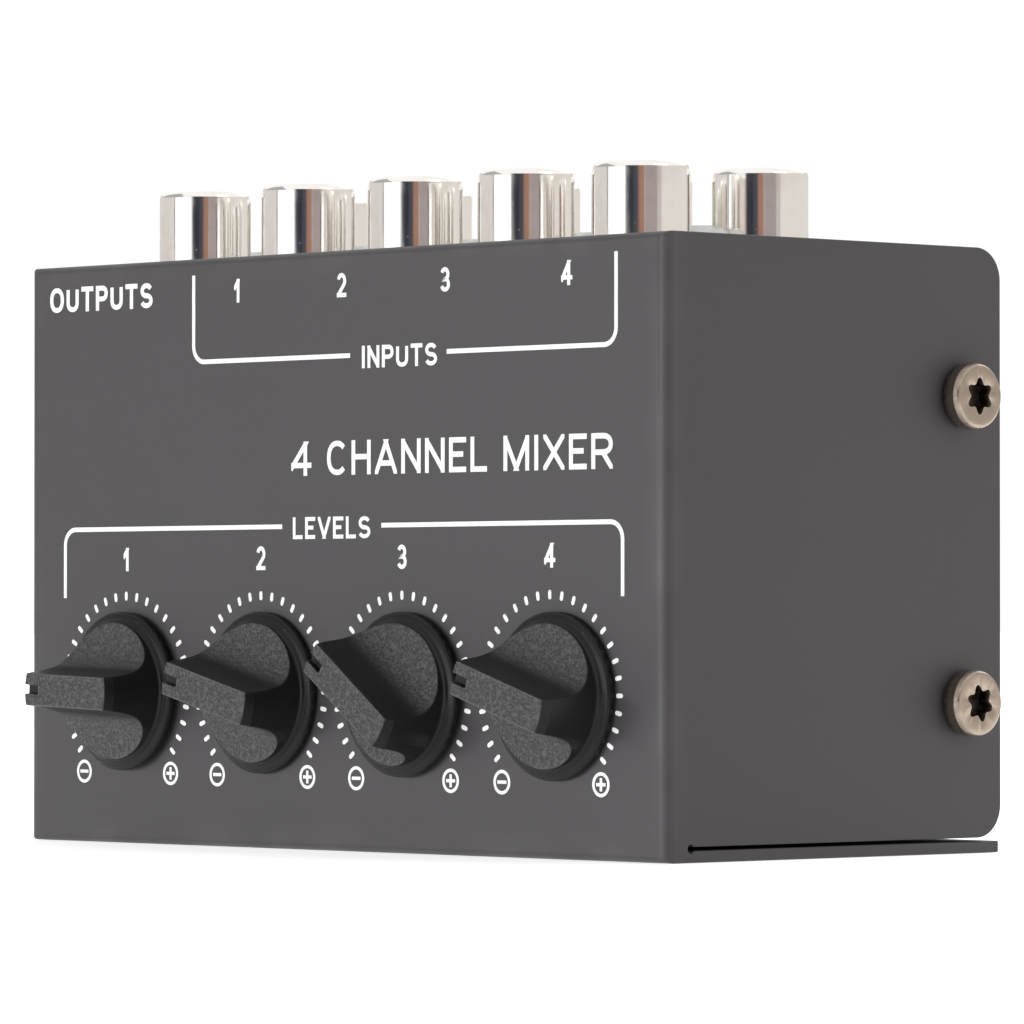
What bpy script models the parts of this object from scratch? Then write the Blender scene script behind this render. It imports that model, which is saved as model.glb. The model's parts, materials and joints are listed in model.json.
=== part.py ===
"""Passive four-channel stereo line mixer in a folded sheet-metal box, modelled in metres with +Z up.

The origin is the middle of the underside. The front panel faces -Y, the phono jacks point up, and the
rear cover slides in from +Y. Every sub-part is its own object with its own material.
"""

import math

import bmesh
import bpy
from mathutils import Matrix, Vector

# Folded shell
WIDTH = 0.0820
HEIGHT = 0.0515
DEPTH = 0.0400
SHEET = 0.0010
BEND_RADIUS = 0.0013
SEAM = 0.0003
SEAM_START = 0.0029
RELIEF_RADIUS = 0.00035
FLANGE_CORNER = 0.0028
FLANGE_SETBACK = 0.0003

# Gap kept between two pieces that rest on or pass through each other
FIT = 0.0003

# Level controls
CHANNELS = 4
CONTROL_PITCH = 0.0184
CONTROL_SHIFT = 0.0006
CONTROL_HEIGHT = 0.0135
POINTER_AT_REST = (-88.0, -76.0, -54.0, -73.0)
KNOB_GAPS = (0.0006, 0.0003, 0.0005, 0.0003)

# Knob, heights above its own underside
KNOB_RADIUS = 0.0070
SKIRT_HEIGHT = 0.0006
SKIRT_ROUND = 0.00025
LEDGE_RISE = 0.0002
CROWN_FOOT_RADIUS = 0.0062
CROWN_TOP_RADIUS = 0.0058
KNOB_HEIGHT = 0.00675
CROWN_CHAMFER = 0.0003
CHAMFER_DROP = 0.0009
# Where one scoop's surface lies: how far from the knob's middle, how high above its underside
SCOOP_SURFACE = (
    (0.00142, 0.00675),
    (0.00175, 0.00420),
    (0.00210, 0.00290),
    (0.00260, 0.00205),
    (0.00330, 0.00155),
    (0.00420, 0.00125),
    (0.00520, 0.00110),
    (0.00620, 0.00105),
)
MARK_WIDTH = 0.0008
MARK_LENGTH = 0.0018
MARK_DEPTH = 0.0005
STEM_RADIUS = 0.0042
STEM_LENGTH = 0.0053
BORE_TOP = 0.0009

# Potentiometer, behind the knob's stem
SHAFT_RADIUS = 0.0030
SHAFT_FLAT = 0.0015
HUB_RADIUS = 0.0042
HUB_THICKNESS = 0.0015
HUB_SETBACK = 0.0012
COLLAR_RADIUS = 0.0038
COLLAR_LENGTH = 0.0008
POT_WIDTH = 0.0102
POT_HEIGHT = 0.0122
POT_DEPTH = 0.0110
POT_WALL = 0.0016
POT_BEVEL = 0.0003

# Phono jacks
JACK_COLUMNS = 5
JACK_PITCH = 0.01403
JACK_ROWS = (0.0098, 0.0240)
BARREL_RADIUS = 0.00415
BARREL_WALL = 0.0005
BARREL_HEIGHT = 0.0066
BARREL_ROUND = 0.0006
BARREL_LIP = 0.0009
BARREL_SOCKET = 0.0030
PIN_HOLE_RADIUS = 0.0017
PIN_HOLE_DEPTH = 0.0080
INSERT_RECESS = 0.0008
HOUSING_WIDTH = 0.0118
HOUSING_END = 0.0059
HOUSING_HEIGHT = 0.0100
HOUSING_BEVEL = 0.0003

# Screws that hold the jack housings
JACK_SCREW_RADIUS = 0.0013
JACK_SCREW_LENGTH = 0.0070
JACK_SCREW_HEAD_RADIUS = 0.0025
JACK_SCREW_HEAD = 0.0013
JACK_SCREW_POINT = 0.15
JACK_HEAD_SHOULDER = 0.65
JACK_HEAD_WAIST = 0.9
JACK_HEAD_CROWN = 0.6
CROSS_REACH = 0.0013
CROSS_WIDTH = 0.0006
CROSS_DEPTH = 0.0008

# Rear cover and its screws
COVER_RECESS = 0.0005
COVER_TAB_DEPTH = 0.0095
COVER_LIP_DEPTH = 0.0060
COVER_NOTCH = 0.0030
NOTCH_STEP = 0.00004
COVER_SCREW_FROM_FRONT = 0.0353
COVER_SCREW_SPACING = 0.0260
COVER_SCREW_RADIUS = 0.0014
COVER_SCREW_LENGTH = 0.0055
COVER_HEAD_RADIUS = 0.00285
COVER_HEAD = 0.0017
HEAD_SHOULDER = 0.65
HEAD_CROWN = 0.93
LOBES = 6
LOBE_TIP = 0.00145
LOBE_VALLEY = 0.00105
LOBE_DEPTH = 0.0012

# Circuit boards
BOARD = 0.0016
JACK_BOARD_MARGIN = 0.0030
CONTROL_BOARD_MARGIN = 0.0045
CONTROL_BOARD_FOOT = 0.0040
HEADER_LENGTH = 0.0305
HEADER_DEPTH = 0.0025
HEADER_HEIGHT = 0.0060
HEADER_BEVEL = 0.0003

# Summing resistors, two for each channel on the back of the control board
RESISTOR_HEIGHTS = (0.0245, 0.0285)
RESISTOR_RADIUS = 0.00125
RESISTOR_WAIST = 0.00105
RESISTOR_LENGTH = 0.0064
RESISTOR_CAP = 0.0013
RESISTOR_NECK = 0.0021
LEAD_WIDTH = 0.0006
LEAD_SPAN = 0.0100

# Facets round a full turn
TURN = 24
SMALL_TURN = 20
TINY_TURN = 12
KNOB_TURN = 36
CORNER_STEPS = 4

FRONT = -DEPTH / 2
PANEL_BACK = FRONT + SHEET
INSIDE_TOP = HEIGHT - SHEET
INSIDE_HALF_WIDTH = WIDTH / 2 - SHEET
OVERCUT = 0.0010
OUTWARD = Matrix.Rotation(math.radians(90), 4, "X")


def clear_scene():
    for old in list(bpy.data.objects):
        bpy.data.objects.remove(old, do_unlink=True)


def finish(name, colour, roughness, metallic):
    """A material for one kind of piece."""
    made = bpy.data.materials.new(name)
    made.use_nodes = True
    shader = made.node_tree.nodes["Principled BSDF"]
    shader.inputs["Base Color"].default_value = (*colour, 1.0)
    shader.inputs["Roughness"].default_value = roughness
    shader.inputs["Metallic"].default_value = metallic
    return made


def add_prism(bm, outline, low, high, place=Matrix()):
    """Adds an outline of (x, y) points, pulled from low to high along Z."""
    rings = [[bm.verts.new(place @ Vector((x, y, z))) for x, y in outline] for z in (low, high)]
    bm.faces.new(rings[0][::-1])
    bm.faces.new(rings[1])
    for here in range(len(outline)):
        after = (here + 1) % len(outline)
        bm.faces.new((rings[0][here], rings[0][after], rings[1][after], rings[1][here]))


def add_box(bm, low, high):
    corners = [(low[0], low[1]), (high[0], low[1]), (high[0], high[1]), (low[0], high[1])]
    add_prism(bm, corners, low[2], high[2])


def add_turned(bm, profile, segments, place=Matrix()):
    """Adds the solid of (radius, height) points turned round Z, a ring when both ends lie off the axis."""
    rings = []
    for radius, height in profile:
        count = segments if radius > 0 else 1
        angles = [math.tau * step / segments for step in range(count)]
        ring = [Vector((radius * math.cos(a), radius * math.sin(a), height)) for a in angles]
        rings.append([bm.verts.new(place @ point) for point in ring])
    pairs = list(zip(rings, rings[1:]))
    if profile[0][0] > 0 and profile[-1][0] > 0:
        pairs.append((rings[-1], rings[0]))
    for lower, upper in pairs:
        for here in range(segments):
            after = (here + 1) % segments
            corners = [lower[here % len(lower)], lower[after % len(lower)]]
            corners += [upper[after % len(upper)], upper[here % len(upper)]]
            bm.faces.new(list(dict.fromkeys(corners)))


def regular_outline(radius, count, start=0.0):
    angles = [start + math.tau * step / count for step in range(count)]
    return [(radius * math.cos(a), radius * math.sin(a)) for a in angles]


def make(name, bm, material, place=Matrix(), parent=None):
    """Turns the bmesh into an object that is shaded smooth on its round sides."""
    bmesh.ops.recalc_face_normals(bm, faces=bm.faces)
    mesh = bpy.data.meshes.new(name)
    bm.to_mesh(mesh)
    bm.free()
    mesh.shade_smooth()
    mesh.set_sharp_from_angle(angle=math.radians(35))
    made = bpy.data.objects.new(name, mesh)
    bpy.context.scene.collection.objects.link(made)
    made.matrix_basis = place
    made.parent = parent
    if material:
        mesh.materials.append(material)
    return made


def cut(target, bm, name, operation="DIFFERENCE"):
    """Cuts, joins or intersects the target with the bmesh, whose coordinates are the target's own."""
    helper = make("cutter_" + name, bm, None, target.matrix_basis, target.parent)
    helper.hide_render = True
    helper.display_type = "WIRE"
    boolean = target.modifiers.new(name, "BOOLEAN")
    boolean.operation = operation
    boolean.object = helper
    boolean.solver = "EXACT"


def soften(target, width, segments=1):
    bevel = target.modifiers.new("edges", "BEVEL")
    bevel.width = width
    bevel.segments = segments
    bevel.limit_method = "ANGLE"
    bevel.angle_limit = math.radians(40)


def control_x(channel):
    return CONTROL_SHIFT + (channel - (CHANNELS - 1) / 2) * CONTROL_PITCH


def jack_x(column):
    return (column - (JACK_COLUMNS - 1) / 2) * JACK_PITCH


def jack_screw_y():
    return FRONT + sum(JACK_ROWS) / 2


def pointer_turn(number):
    """A knob's turn at rest about its own axis, which points out of the panel."""
    return Matrix.Rotation(math.radians(-POINTER_AT_REST[number - 1]), 4, "Z")


def cover_screw_heights():
    return [HEIGHT / 2 - COVER_SCREW_SPACING / 2, HEIGHT / 2 + COVER_SCREW_SPACING / 2]


def side_place(side, height):
    """Places a piece that points out of the left (-1) or right (+1) flange, at a cover screw."""
    out = Matrix.Translation((side * WIDTH / 2, FRONT + COVER_SCREW_FROM_FRONT, height))
    return out @ Matrix.Rotation(math.radians(90 * side), 4, "Y")


def bend_front_edges(bm, y, radius, segments):
    """Rounds the four edges that lie in the plane at y, as folding the sheet does."""
    edges = [edge for edge in bm.edges if all(abs(v.co.y - y) < SEAM / 10 for v in edge.verts)]
    bmesh.ops.bevel(bm, geom=edges, offset=radius, segments=segments, profile=0.5, affect="EDGES")


def corner_outline(corner, inward, radius):
    """The scrap outside a rounded corner, reaching half a seam past both of the edges that meet there."""
    centre = (corner[0] + inward[0] * radius, corner[1] + inward[1] * radius)
    arc = []
    for step in range(CORNER_STEPS + 1):
        angle = math.radians(90 * step / CORNER_STEPS)
        first = centre[0] - inward[0] * radius * math.sin(angle)
        second = centre[1] - inward[1] * radius * math.cos(angle)
        arc.append((first, second))
    past = (corner[0] - inward[0] * SEAM / 2, corner[1] - inward[1] * SEAM / 2)
    return arc + [(past[0], centre[1]), past, (centre[0], past[1])]


def build_front_shell(paint):
    bm = bmesh.new()
    add_box(bm, (-WIDTH / 2, FRONT, 0), (WIDTH / 2, -FRONT, HEIGHT))
    bend_front_edges(bm, FRONT, BEND_RADIUS, 3)
    shell = make("front_shell", bm, paint)

    bm = bmesh.new()
    inside_low = (-INSIDE_HALF_WIDTH, PANEL_BACK, SHEET)
    add_box(bm, inside_low, (INSIDE_HALF_WIDTH, -FRONT + OVERCUT, INSIDE_TOP))
    bend_front_edges(bm, PANEL_BACK, BEND_RADIUS - SHEET, 1)
    cut(shell, bm, "inside")

    bm = bmesh.new()
    for side in (-1, 1):
        across = sorted((side * (INSIDE_HALF_WIDTH - OVERCUT), side * (WIDTH / 2 + OVERCUT)))
        seam_low = (across[0], FRONT + SEAM_START, SHEET)
        add_box(bm, seam_low, (across[1], -FRONT + OVERCUT, SHEET + SEAM))
    cut(shell, bm, "bottom_seams")

    bm = bmesh.new()
    sideways = Matrix.Rotation(math.radians(90), 4, "Y")
    for side in (-1, 1):
        middle = Matrix.Translation((side * WIDTH / 2, FRONT + SEAM_START, SHEET + SEAM / 2))
        outline = regular_outline(RELIEF_RADIUS, TINY_TURN)
        add_prism(bm, outline, -SHEET - OVERCUT, SHEET + OVERCUT, middle @ sideways)
    cut(shell, bm, "reliefs")

    bm = bmesh.new()
    for side in (-1, 1):
        across = sorted((side * (INSIDE_HALF_WIDTH - SEAM), side * INSIDE_HALF_WIDTH))
        seam_low = (across[0], FRONT + SEAM_START, INSIDE_TOP - OVERCUT)
        add_box(bm, seam_low, (across[1], -FRONT + OVERCUT, HEIGHT + OVERCUT))
    cut(shell, bm, "top_seams")

    bm = bmesh.new()
    for side in (-1, 1):
        across = sorted((side * (INSIDE_HALF_WIDTH - SEAM / 2), side * (WIDTH / 2 + OVERCUT)))
        for corner_z, into_z in ((SHEET + SEAM, 1), (HEIGHT, -1)):
            outline = corner_outline((-FRONT, corner_z), (-1, into_z), FLANGE_CORNER)
            axes = Matrix(((0, 0, 1, 0), (1, 0, 0, 0), (0, 1, 0, 0), (0, 0, 0, 1)))
            add_prism(bm, outline, across[0], across[1], axes)
    cut(shell, bm, "side_flange_corners")

    bm = bmesh.new()
    rear = -FRONT - FLANGE_SETBACK
    reach = INSIDE_HALF_WIDTH - SEAM / 2
    add_box(bm, (-reach, rear, INSIDE_TOP - OVERCUT), (reach, -FRONT + OVERCUT, HEIGHT + OVERCUT))
    past = WIDTH / 2 + OVERCUT
    add_box(bm, (-past, rear, -OVERCUT), (past, -FRONT + OVERCUT, SHEET + SEAM / 2))
    cut(shell, bm, "flange_ends")

    bm = bmesh.new()
    for side in (-1, 1):
        corner = (side * (INSIDE_HALF_WIDTH - SEAM), rear)
        outline = corner_outline(corner, (-side, -1), FLANGE_CORNER)
        add_prism(bm, outline, INSIDE_TOP - OVERCUT, HEIGHT + OVERCUT)
    cut(shell, bm, "top_flange_corners")

    bm = bmesh.new()
    for column in range(JACK_COLUMNS):
        for row in JACK_ROWS:
            place = Matrix.Translation((jack_x(column), FRONT + row, INSIDE_TOP))
            outline = regular_outline(BARREL_RADIUS + FIT, TURN)
            add_prism(bm, outline, -OVERCUT, SHEET + OVERCUT, place)
        place = Matrix.Translation((jack_x(column), jack_screw_y(), INSIDE_TOP))
        outline = regular_outline(JACK_SCREW_RADIUS + FIT, TINY_TURN)
        add_prism(bm, outline, -OVERCUT, SHEET + OVERCUT, place)
    for channel in range(CHANNELS):
        place = Matrix.Translation((control_x(channel), PANEL_BACK, CONTROL_HEIGHT)) @ OUTWARD
        outline = regular_outline(STEM_RADIUS + FIT, SMALL_TURN)
        add_prism(bm, outline, -OVERCUT, SHEET + OVERCUT, place)
    for side in (-1, 1):
        for height in cover_screw_heights():
            outline = regular_outline(COVER_SCREW_RADIUS + FIT, TINY_TURN)
            add_prism(bm, outline, -SHEET - OVERCUT, OVERCUT, side_place(side, height))
    cut(shell, bm, "holes")


def build_rear_cover(paint):
    """A shallow pan: the back plate, a deep tab at each side for the screws, a lip above and below."""
    back = -FRONT - COVER_RECESS
    half_width = INSIDE_HALF_WIDTH - FIT
    foot = SHEET + FIT
    head = INSIDE_TOP - FIT
    bm = bmesh.new()
    add_box(bm, (-half_width, back - COVER_TAB_DEPTH, foot), (half_width, back, head))
    bend_front_edges(bm, back, BEND_RADIUS, 3)
    cover = make("rear_cover", bm, paint)

    bm = bmesh.new()
    low = (-half_width + SHEET, back - COVER_TAB_DEPTH - OVERCUT, foot + SHEET)
    add_box(bm, low, (half_width - SHEET, back - SHEET, head - SHEET))
    cut(cover, bm, "pan")

    bm = bmesh.new()
    lip_x = half_width - COVER_NOTCH
    past = half_width + OVERCUT
    for low_z, high_z in ((foot - OVERCUT, foot + COVER_NOTCH), (head - COVER_NOTCH, head + OVERCUT)):
        add_box(bm, (-lip_x, -FRONT - DEPTH, low_z), (lip_x, back - COVER_LIP_DEPTH, high_z))
        for side in (-1, 1):
            across = sorted((side * (lip_x + NOTCH_STEP), side * past))
            ends = (across[0], -FRONT - DEPTH, low_z)
            add_box(bm, ends, (across[1], back - BEND_RADIUS, high_z))
    cut(cover, bm, "corner_notches")

    bm = bmesh.new()
    for side in (-1, 1):
        for height in cover_screw_heights():
            outline = regular_outline(COVER_SCREW_RADIUS + FIT, TINY_TURN)
            reach = 2 * SHEET + FIT + OVERCUT
            add_prism(bm, outline, -reach, OVERCUT, side_place(side, height))
    cut(cover, bm, "screw_holes")


def build_cover_screws(steel):
    for side, side_name in ((-1, "left"), (1, "right")):
        for height, level in zip(cover_screw_heights(), ("lower", "upper")):
            seat = side_place(side, height) @ Matrix.Translation((0, 0, FIT))
            profile = [
                (0, -COVER_SCREW_LENGTH),
                (COVER_SCREW_RADIUS, -COVER_SCREW_LENGTH),
                (COVER_SCREW_RADIUS, 0),
                (COVER_HEAD_RADIUS, 0),
                (COVER_HEAD_RADIUS, COVER_HEAD * HEAD_SHOULDER),
                (COVER_HEAD_RADIUS * HEAD_CROWN, COVER_HEAD),
                (0, COVER_HEAD),
            ]
            bm = bmesh.new()
            add_turned(bm, profile, SMALL_TURN)
            screw = make("cover_screw_%s_%s" % (side_name, level), bm, steel, seat)
            bm = bmesh.new()
            steps = range(2 * LOBES)
            angles = [math.pi * step / LOBES for step in steps]
            reach = [LOBE_TIP if step % 2 == 0 else LOBE_VALLEY for step in steps]
            outline = [(r * math.cos(a), r * math.sin(a)) for r, a in zip(reach, angles)]
            add_prism(bm, outline, COVER_HEAD - LOBE_DEPTH, COVER_HEAD + OVERCUT)
            cut(screw, bm, "drive_%s_%s" % (side_name, level))


def build_jacks(chrome, black, white_plastic, red_plastic, steel):
    """Five housings side by side, each with a front and a rear jack and a screw between them."""
    housing_top = INSIDE_TOP - FIT
    socket_floor = housing_top - BARREL_SOCKET
    barrel_top = HEIGHT + BARREL_HEIGHT
    outer = BARREL_RADIUS
    inner = BARREL_RADIUS - BARREL_WALL
    lip = BARREL_RADIUS - BARREL_LIP
    corner = BARREL_ROUND * (1 - math.sqrt(0.5))
    barrel_profile = [
        (inner, socket_floor + FIT),
        (outer, socket_floor + FIT),
        (outer, barrel_top - BARREL_ROUND),
        (outer - corner, barrel_top - corner),
        (outer - BARREL_ROUND, barrel_top),
        (lip, barrel_top),
        (lip, barrel_top - BARREL_WALL),
        (inner, barrel_top - BARREL_WALL),
    ]
    insert_top = barrel_top - INSERT_RECESS
    insert_profile = [
        (0, socket_floor + FIT),
        (inner - FIT, socket_floor + FIT),
        (inner - FIT, insert_top),
        (PIN_HOLE_RADIUS, insert_top),
        (PIN_HOLE_RADIUS, insert_top - PIN_HOLE_DEPTH),
        (0, insert_top - PIN_HOLE_DEPTH),
    ]
    screw_profile = [
        (0, -JACK_SCREW_LENGTH),
        (JACK_SCREW_RADIUS, -JACK_SCREW_LENGTH * (1 - JACK_SCREW_POINT)),
        (JACK_SCREW_RADIUS, 0),
        (JACK_SCREW_HEAD_RADIUS, 0),
        (JACK_SCREW_HEAD_RADIUS * JACK_HEAD_WAIST, JACK_SCREW_HEAD * JACK_HEAD_SHOULDER),
        (JACK_SCREW_HEAD_RADIUS * JACK_HEAD_CROWN, JACK_SCREW_HEAD),
        (0, JACK_SCREW_HEAD),
    ]
    row_names = ("front", "rear")
    for column in range(JACK_COLUMNS):
        label = "out" if column == 0 else "in_%d" % column
        x = jack_x(column)
        bm = bmesh.new()
        low = (x - HOUSING_WIDTH / 2, FRONT + JACK_ROWS[0] - HOUSING_END, housing_top - HOUSING_HEIGHT)
        add_box(bm, low, (x + HOUSING_WIDTH / 2, FRONT + JACK_ROWS[1] + HOUSING_END, housing_top))
        housing = make("jack_housing_" + label, bm, black)
        soften(housing, HOUSING_BEVEL)
        bm = bmesh.new()
        for row in JACK_ROWS:
            place = Matrix.Translation((x, FRONT + row, housing_top))
            add_prism(bm, regular_outline(outer + FIT, TURN), -BARREL_SOCKET, OVERCUT, place)
        place = Matrix.Translation((x, jack_screw_y(), housing_top))
        outline = regular_outline(JACK_SCREW_RADIUS + FIT, TINY_TURN)
        add_prism(bm, outline, -JACK_SCREW_LENGTH, OVERCUT, place)
        cut(housing, bm, "sockets_" + label)

        for row, row_name in zip(JACK_ROWS, row_names):
            place = Matrix.Translation((x, FRONT + row, 0))
            bm = bmesh.new()
            add_turned(bm, barrel_profile, TURN)
            make("jack_barrel_%s_%s" % (label, row_name), bm, chrome, place)
            bm = bmesh.new()
            add_turned(bm, insert_profile, SMALL_TURN)
            colour = red_plastic if row_name == "front" else white_plastic
            make("jack_insert_%s_%s" % (label, row_name), bm, colour, place)

        place = Matrix.Translation((x, jack_screw_y(), HEIGHT + FIT))
        bm = bmesh.new()
        add_turned(bm, screw_profile, SMALL_TURN)
        screw = make("jack_screw_" + label, bm, steel, place)
        bm = bmesh.new()
        half = CROSS_WIDTH / 2
        arm = [(half, half), (half, CROSS_REACH), (-half, CROSS_REACH)]
        cross = []
        for quarter in range(4):
            turned = Matrix.Rotation(math.radians(90 * quarter), 2)
            cross += [tuple(turned @ Vector(point)) for point in arm]
        add_prism(bm, cross, JACK_SCREW_HEAD - CROSS_DEPTH, JACK_SCREW_HEAD + OVERCUT)
        cut(screw, bm, "cross_" + label)


def flatted_outline(radius, flat_height, count):
    """A circle cut off by a straight flat that faces +Y, as a D-shaped shaft is."""
    edge = math.asin(flat_height / radius)
    sweep = math.pi + 2 * edge
    angles = [math.pi - edge + sweep * step / count for step in range(count + 1)]
    return [(radius * math.cos(a), radius * math.sin(a)) for a in angles]


def collar_end():
    """Just short of the stem of whichever knob sits closest to the panel."""
    return min(KNOB_GAPS) - STEM_LENGTH - FIT


def pot_front():
    return collar_end() - COLLAR_LENGTH


def build_potentiometer(number, axis, steel, case_grey):
    """Heights are above the front panel's outer face, so that what lies behind it is negative."""
    front = pot_front()
    back = front - POT_DEPTH
    half_width = POT_WIDTH / 2
    half_height = POT_HEIGHT / 2
    bm = bmesh.new()
    add_box(bm, (-half_width, -half_height, back), (half_width, half_height, front))
    case = make("pot_case_%d" % number, bm, case_grey, parent=axis)
    soften(case, POT_BEVEL)
    bm = bmesh.new()
    root = front - POT_WALL / 2
    collar = [(0, root), (COLLAR_RADIUS, root), (COLLAR_RADIUS, collar_end()), (0, collar_end())]
    add_turned(bm, collar, SMALL_TURN)
    cut(case, bm, "collar_%d" % number, "UNION")
    bm = bmesh.new()
    cavity_back = back + POT_WALL
    cavity = HUB_RADIUS + FIT
    bore = SHAFT_RADIUS + FIT
    mouth = collar_end() + OVERCUT
    bore_profile = [
        (0, cavity_back),
        (cavity, cavity_back),
        (cavity, front - POT_WALL),
        (bore, front - POT_WALL),
        (bore, mouth),
        (0, mouth),
    ]
    add_turned(bm, bore_profile, SMALL_TURN)
    cut(case, bm, "bore_%d" % number)

    hub_front = front - POT_WALL - HUB_SETBACK
    hub_back = hub_front - HUB_THICKNESS
    rear_end = cavity_back + FIT
    front_end = min(KNOB_GAPS) + BORE_TOP - FIT
    shaft_profile = [
        (0, rear_end),
        (SHAFT_RADIUS, rear_end),
        (SHAFT_RADIUS, hub_back),
        (HUB_RADIUS, hub_back),
        (HUB_RADIUS, hub_front),
        (SHAFT_RADIUS, hub_front),
        (SHAFT_RADIUS, front_end),
        (0, front_end),
    ]
    bm = bmesh.new()
    add_turned(bm, shaft_profile, SMALL_TURN)
    shaft = make("pot_shaft_%d" % number, bm, steel, pointer_turn(number), axis)
    bm = bmesh.new()
    past = 2 * SHAFT_RADIUS
    add_box(bm, (-past, SHAFT_FLAT, collar_end()), (past, past, front_end + OVERCUT))
    cut(shaft, bm, "flat_%d" % number)


def build_knob(number, axis, plastic):
    """A round crown on a thin skirt. Two long scoops leave a bar between them, which points to +Y.

    A stem reaches through the panel to the potentiometer's shaft.
    """
    profile = [
        (0, -STEM_LENGTH),
        (STEM_RADIUS, -STEM_LENGTH),
        (STEM_RADIUS, 0),
        (KNOB_RADIUS, 0),
        (KNOB_RADIUS, SKIRT_HEIGHT - SKIRT_ROUND),
        (KNOB_RADIUS - SKIRT_ROUND, SKIRT_HEIGHT),
        (CROWN_FOOT_RADIUS, SKIRT_HEIGHT + LEDGE_RISE),
        (CROWN_TOP_RADIUS, KNOB_HEIGHT - CHAMFER_DROP),
        (CROWN_TOP_RADIUS - CROWN_CHAMFER, KNOB_HEIGHT),
        (0, KNOB_HEIGHT),
    ]
    place = pointer_turn(number) @ Matrix.Translation((0, 0, KNOB_GAPS[number - 1]))
    bm = bmesh.new()
    add_turned(bm, profile, KNOB_TURN)
    knob = make("knob_%d" % number, bm, plastic, place, axis)

    bm = bmesh.new()
    upright = Matrix(((1, 0, 0, 0), (0, 0, -1, 0), (0, 1, 0, 0), (0, 0, 0, 1)))
    inner, outer = SCOOP_SURFACE[0], SCOOP_SURFACE[-1]
    past = KNOB_RADIUS + OVERCUT
    above = KNOB_HEIGHT + OVERCUT
    for side in (-1, 1):
        outline = list(SCOOP_SURFACE) + [(past, outer[1]), (past, above), (inner[0], above)]
        add_prism(bm, [(side * x, z) for x, z in outline], -past, past, upright)
    cut(knob, bm, "scoops_%d" % number)

    bm = bmesh.new()
    half = MARK_WIDTH / 2
    mark_start = CROWN_TOP_RADIUS - CROWN_CHAMFER - MARK_LENGTH
    low = (-half, mark_start, KNOB_HEIGHT - MARK_DEPTH)
    add_box(bm, low, (half, KNOB_RADIUS, KNOB_HEIGHT + OVERCUT))
    cut(knob, bm, "mark_%d" % number)

    bm = bmesh.new()
    outline = flatted_outline(SHAFT_RADIUS + FIT, SHAFT_FLAT + FIT, SMALL_TURN)
    add_prism(bm, outline, -STEM_LENGTH - OVERCUT, BORE_TOP)
    cut(knob, bm, "shaft_bore_%d" % number)


def build_resistors(board_back, tan):
    """Each lies along X just off the board, with both leads bent back towards it."""
    axis_y = board_back + FIT + RESISTOR_RADIUS
    half = RESISTOR_LENGTH / 2
    cap = half - RESISTOR_CAP
    waist = half - RESISTOR_NECK
    profile = [
        (0, -half),
        (RESISTOR_RADIUS, -half),
        (RESISTOR_RADIUS, -cap),
        (RESISTOR_WAIST, -waist),
        (RESISTOR_WAIST, waist),
        (RESISTOR_RADIUS, cap),
        (RESISTOR_RADIUS, half),
        (0, half),
    ]
    wire = LEAD_WIDTH / 2
    sideways = Matrix.Rotation(math.radians(90), 4, "Y")
    for channel in range(CHANNELS):
        for height, name in zip(RESISTOR_HEIGHTS, ("left", "right")):
            place = Matrix.Translation((control_x(channel), axis_y, height))
            label = "resistor_%d_%s" % (channel + 1, name)
            bm = bmesh.new()
            add_turned(bm, profile, TINY_TURN, sideways)
            resistor = make(label, bm, tan, place)
            bm = bmesh.new()
            board_side = board_back + FIT - axis_y
            for side in (-1, 1):
                across = sorted((side * (half - wire), side * LEAD_SPAN / 2))
                add_box(bm, (across[0], -wire, -wire), (across[1], wire, wire))
            cut(resistor, bm, label + "_leads", "UNION")
            bm = bmesh.new()
            for side in (-1, 1):
                across = sorted((side * (LEAD_SPAN / 2 - LEAD_WIDTH), side * LEAD_SPAN / 2))
                add_box(bm, (across[0], board_side, -wire), (across[1], 0, wire))
            cut(resistor, bm, label + "_bends", "UNION")


def build_boards(laminate, black, tan):
    """One board hangs under the jacks, one stands behind the potentiometers, and a header joins them."""
    top = INSIDE_TOP - FIT - HOUSING_HEIGHT - FIT
    half_width = INSIDE_HALF_WIDTH - JACK_BOARD_MARGIN
    bm = bmesh.new()
    low = (-half_width, FRONT + JACK_ROWS[0] - HOUSING_END, top - BOARD)
    add_box(bm, low, (half_width, FRONT + JACK_ROWS[1] + HOUSING_END, top))
    make("jack_board", bm, laminate)

    near = FRONT - pot_front() + POT_DEPTH + FIT
    head = top - BOARD - FIT
    half_width = INSIDE_HALF_WIDTH - CONTROL_BOARD_MARGIN
    bm = bmesh.new()
    add_box(bm, (-half_width, near, CONTROL_BOARD_FOOT), (half_width, near + BOARD, head))
    make("control_board", bm, laminate)

    bm = bmesh.new()
    back = near + BOARD + FIT
    low = (-HEADER_LENGTH / 2, back, head - HEADER_HEIGHT)
    add_box(bm, low, (HEADER_LENGTH / 2, back + HEADER_DEPTH, head))
    header = make("board_header", bm, black)
    soften(header, HEADER_BEVEL)
    build_resistors(near + BOARD, tan)


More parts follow.
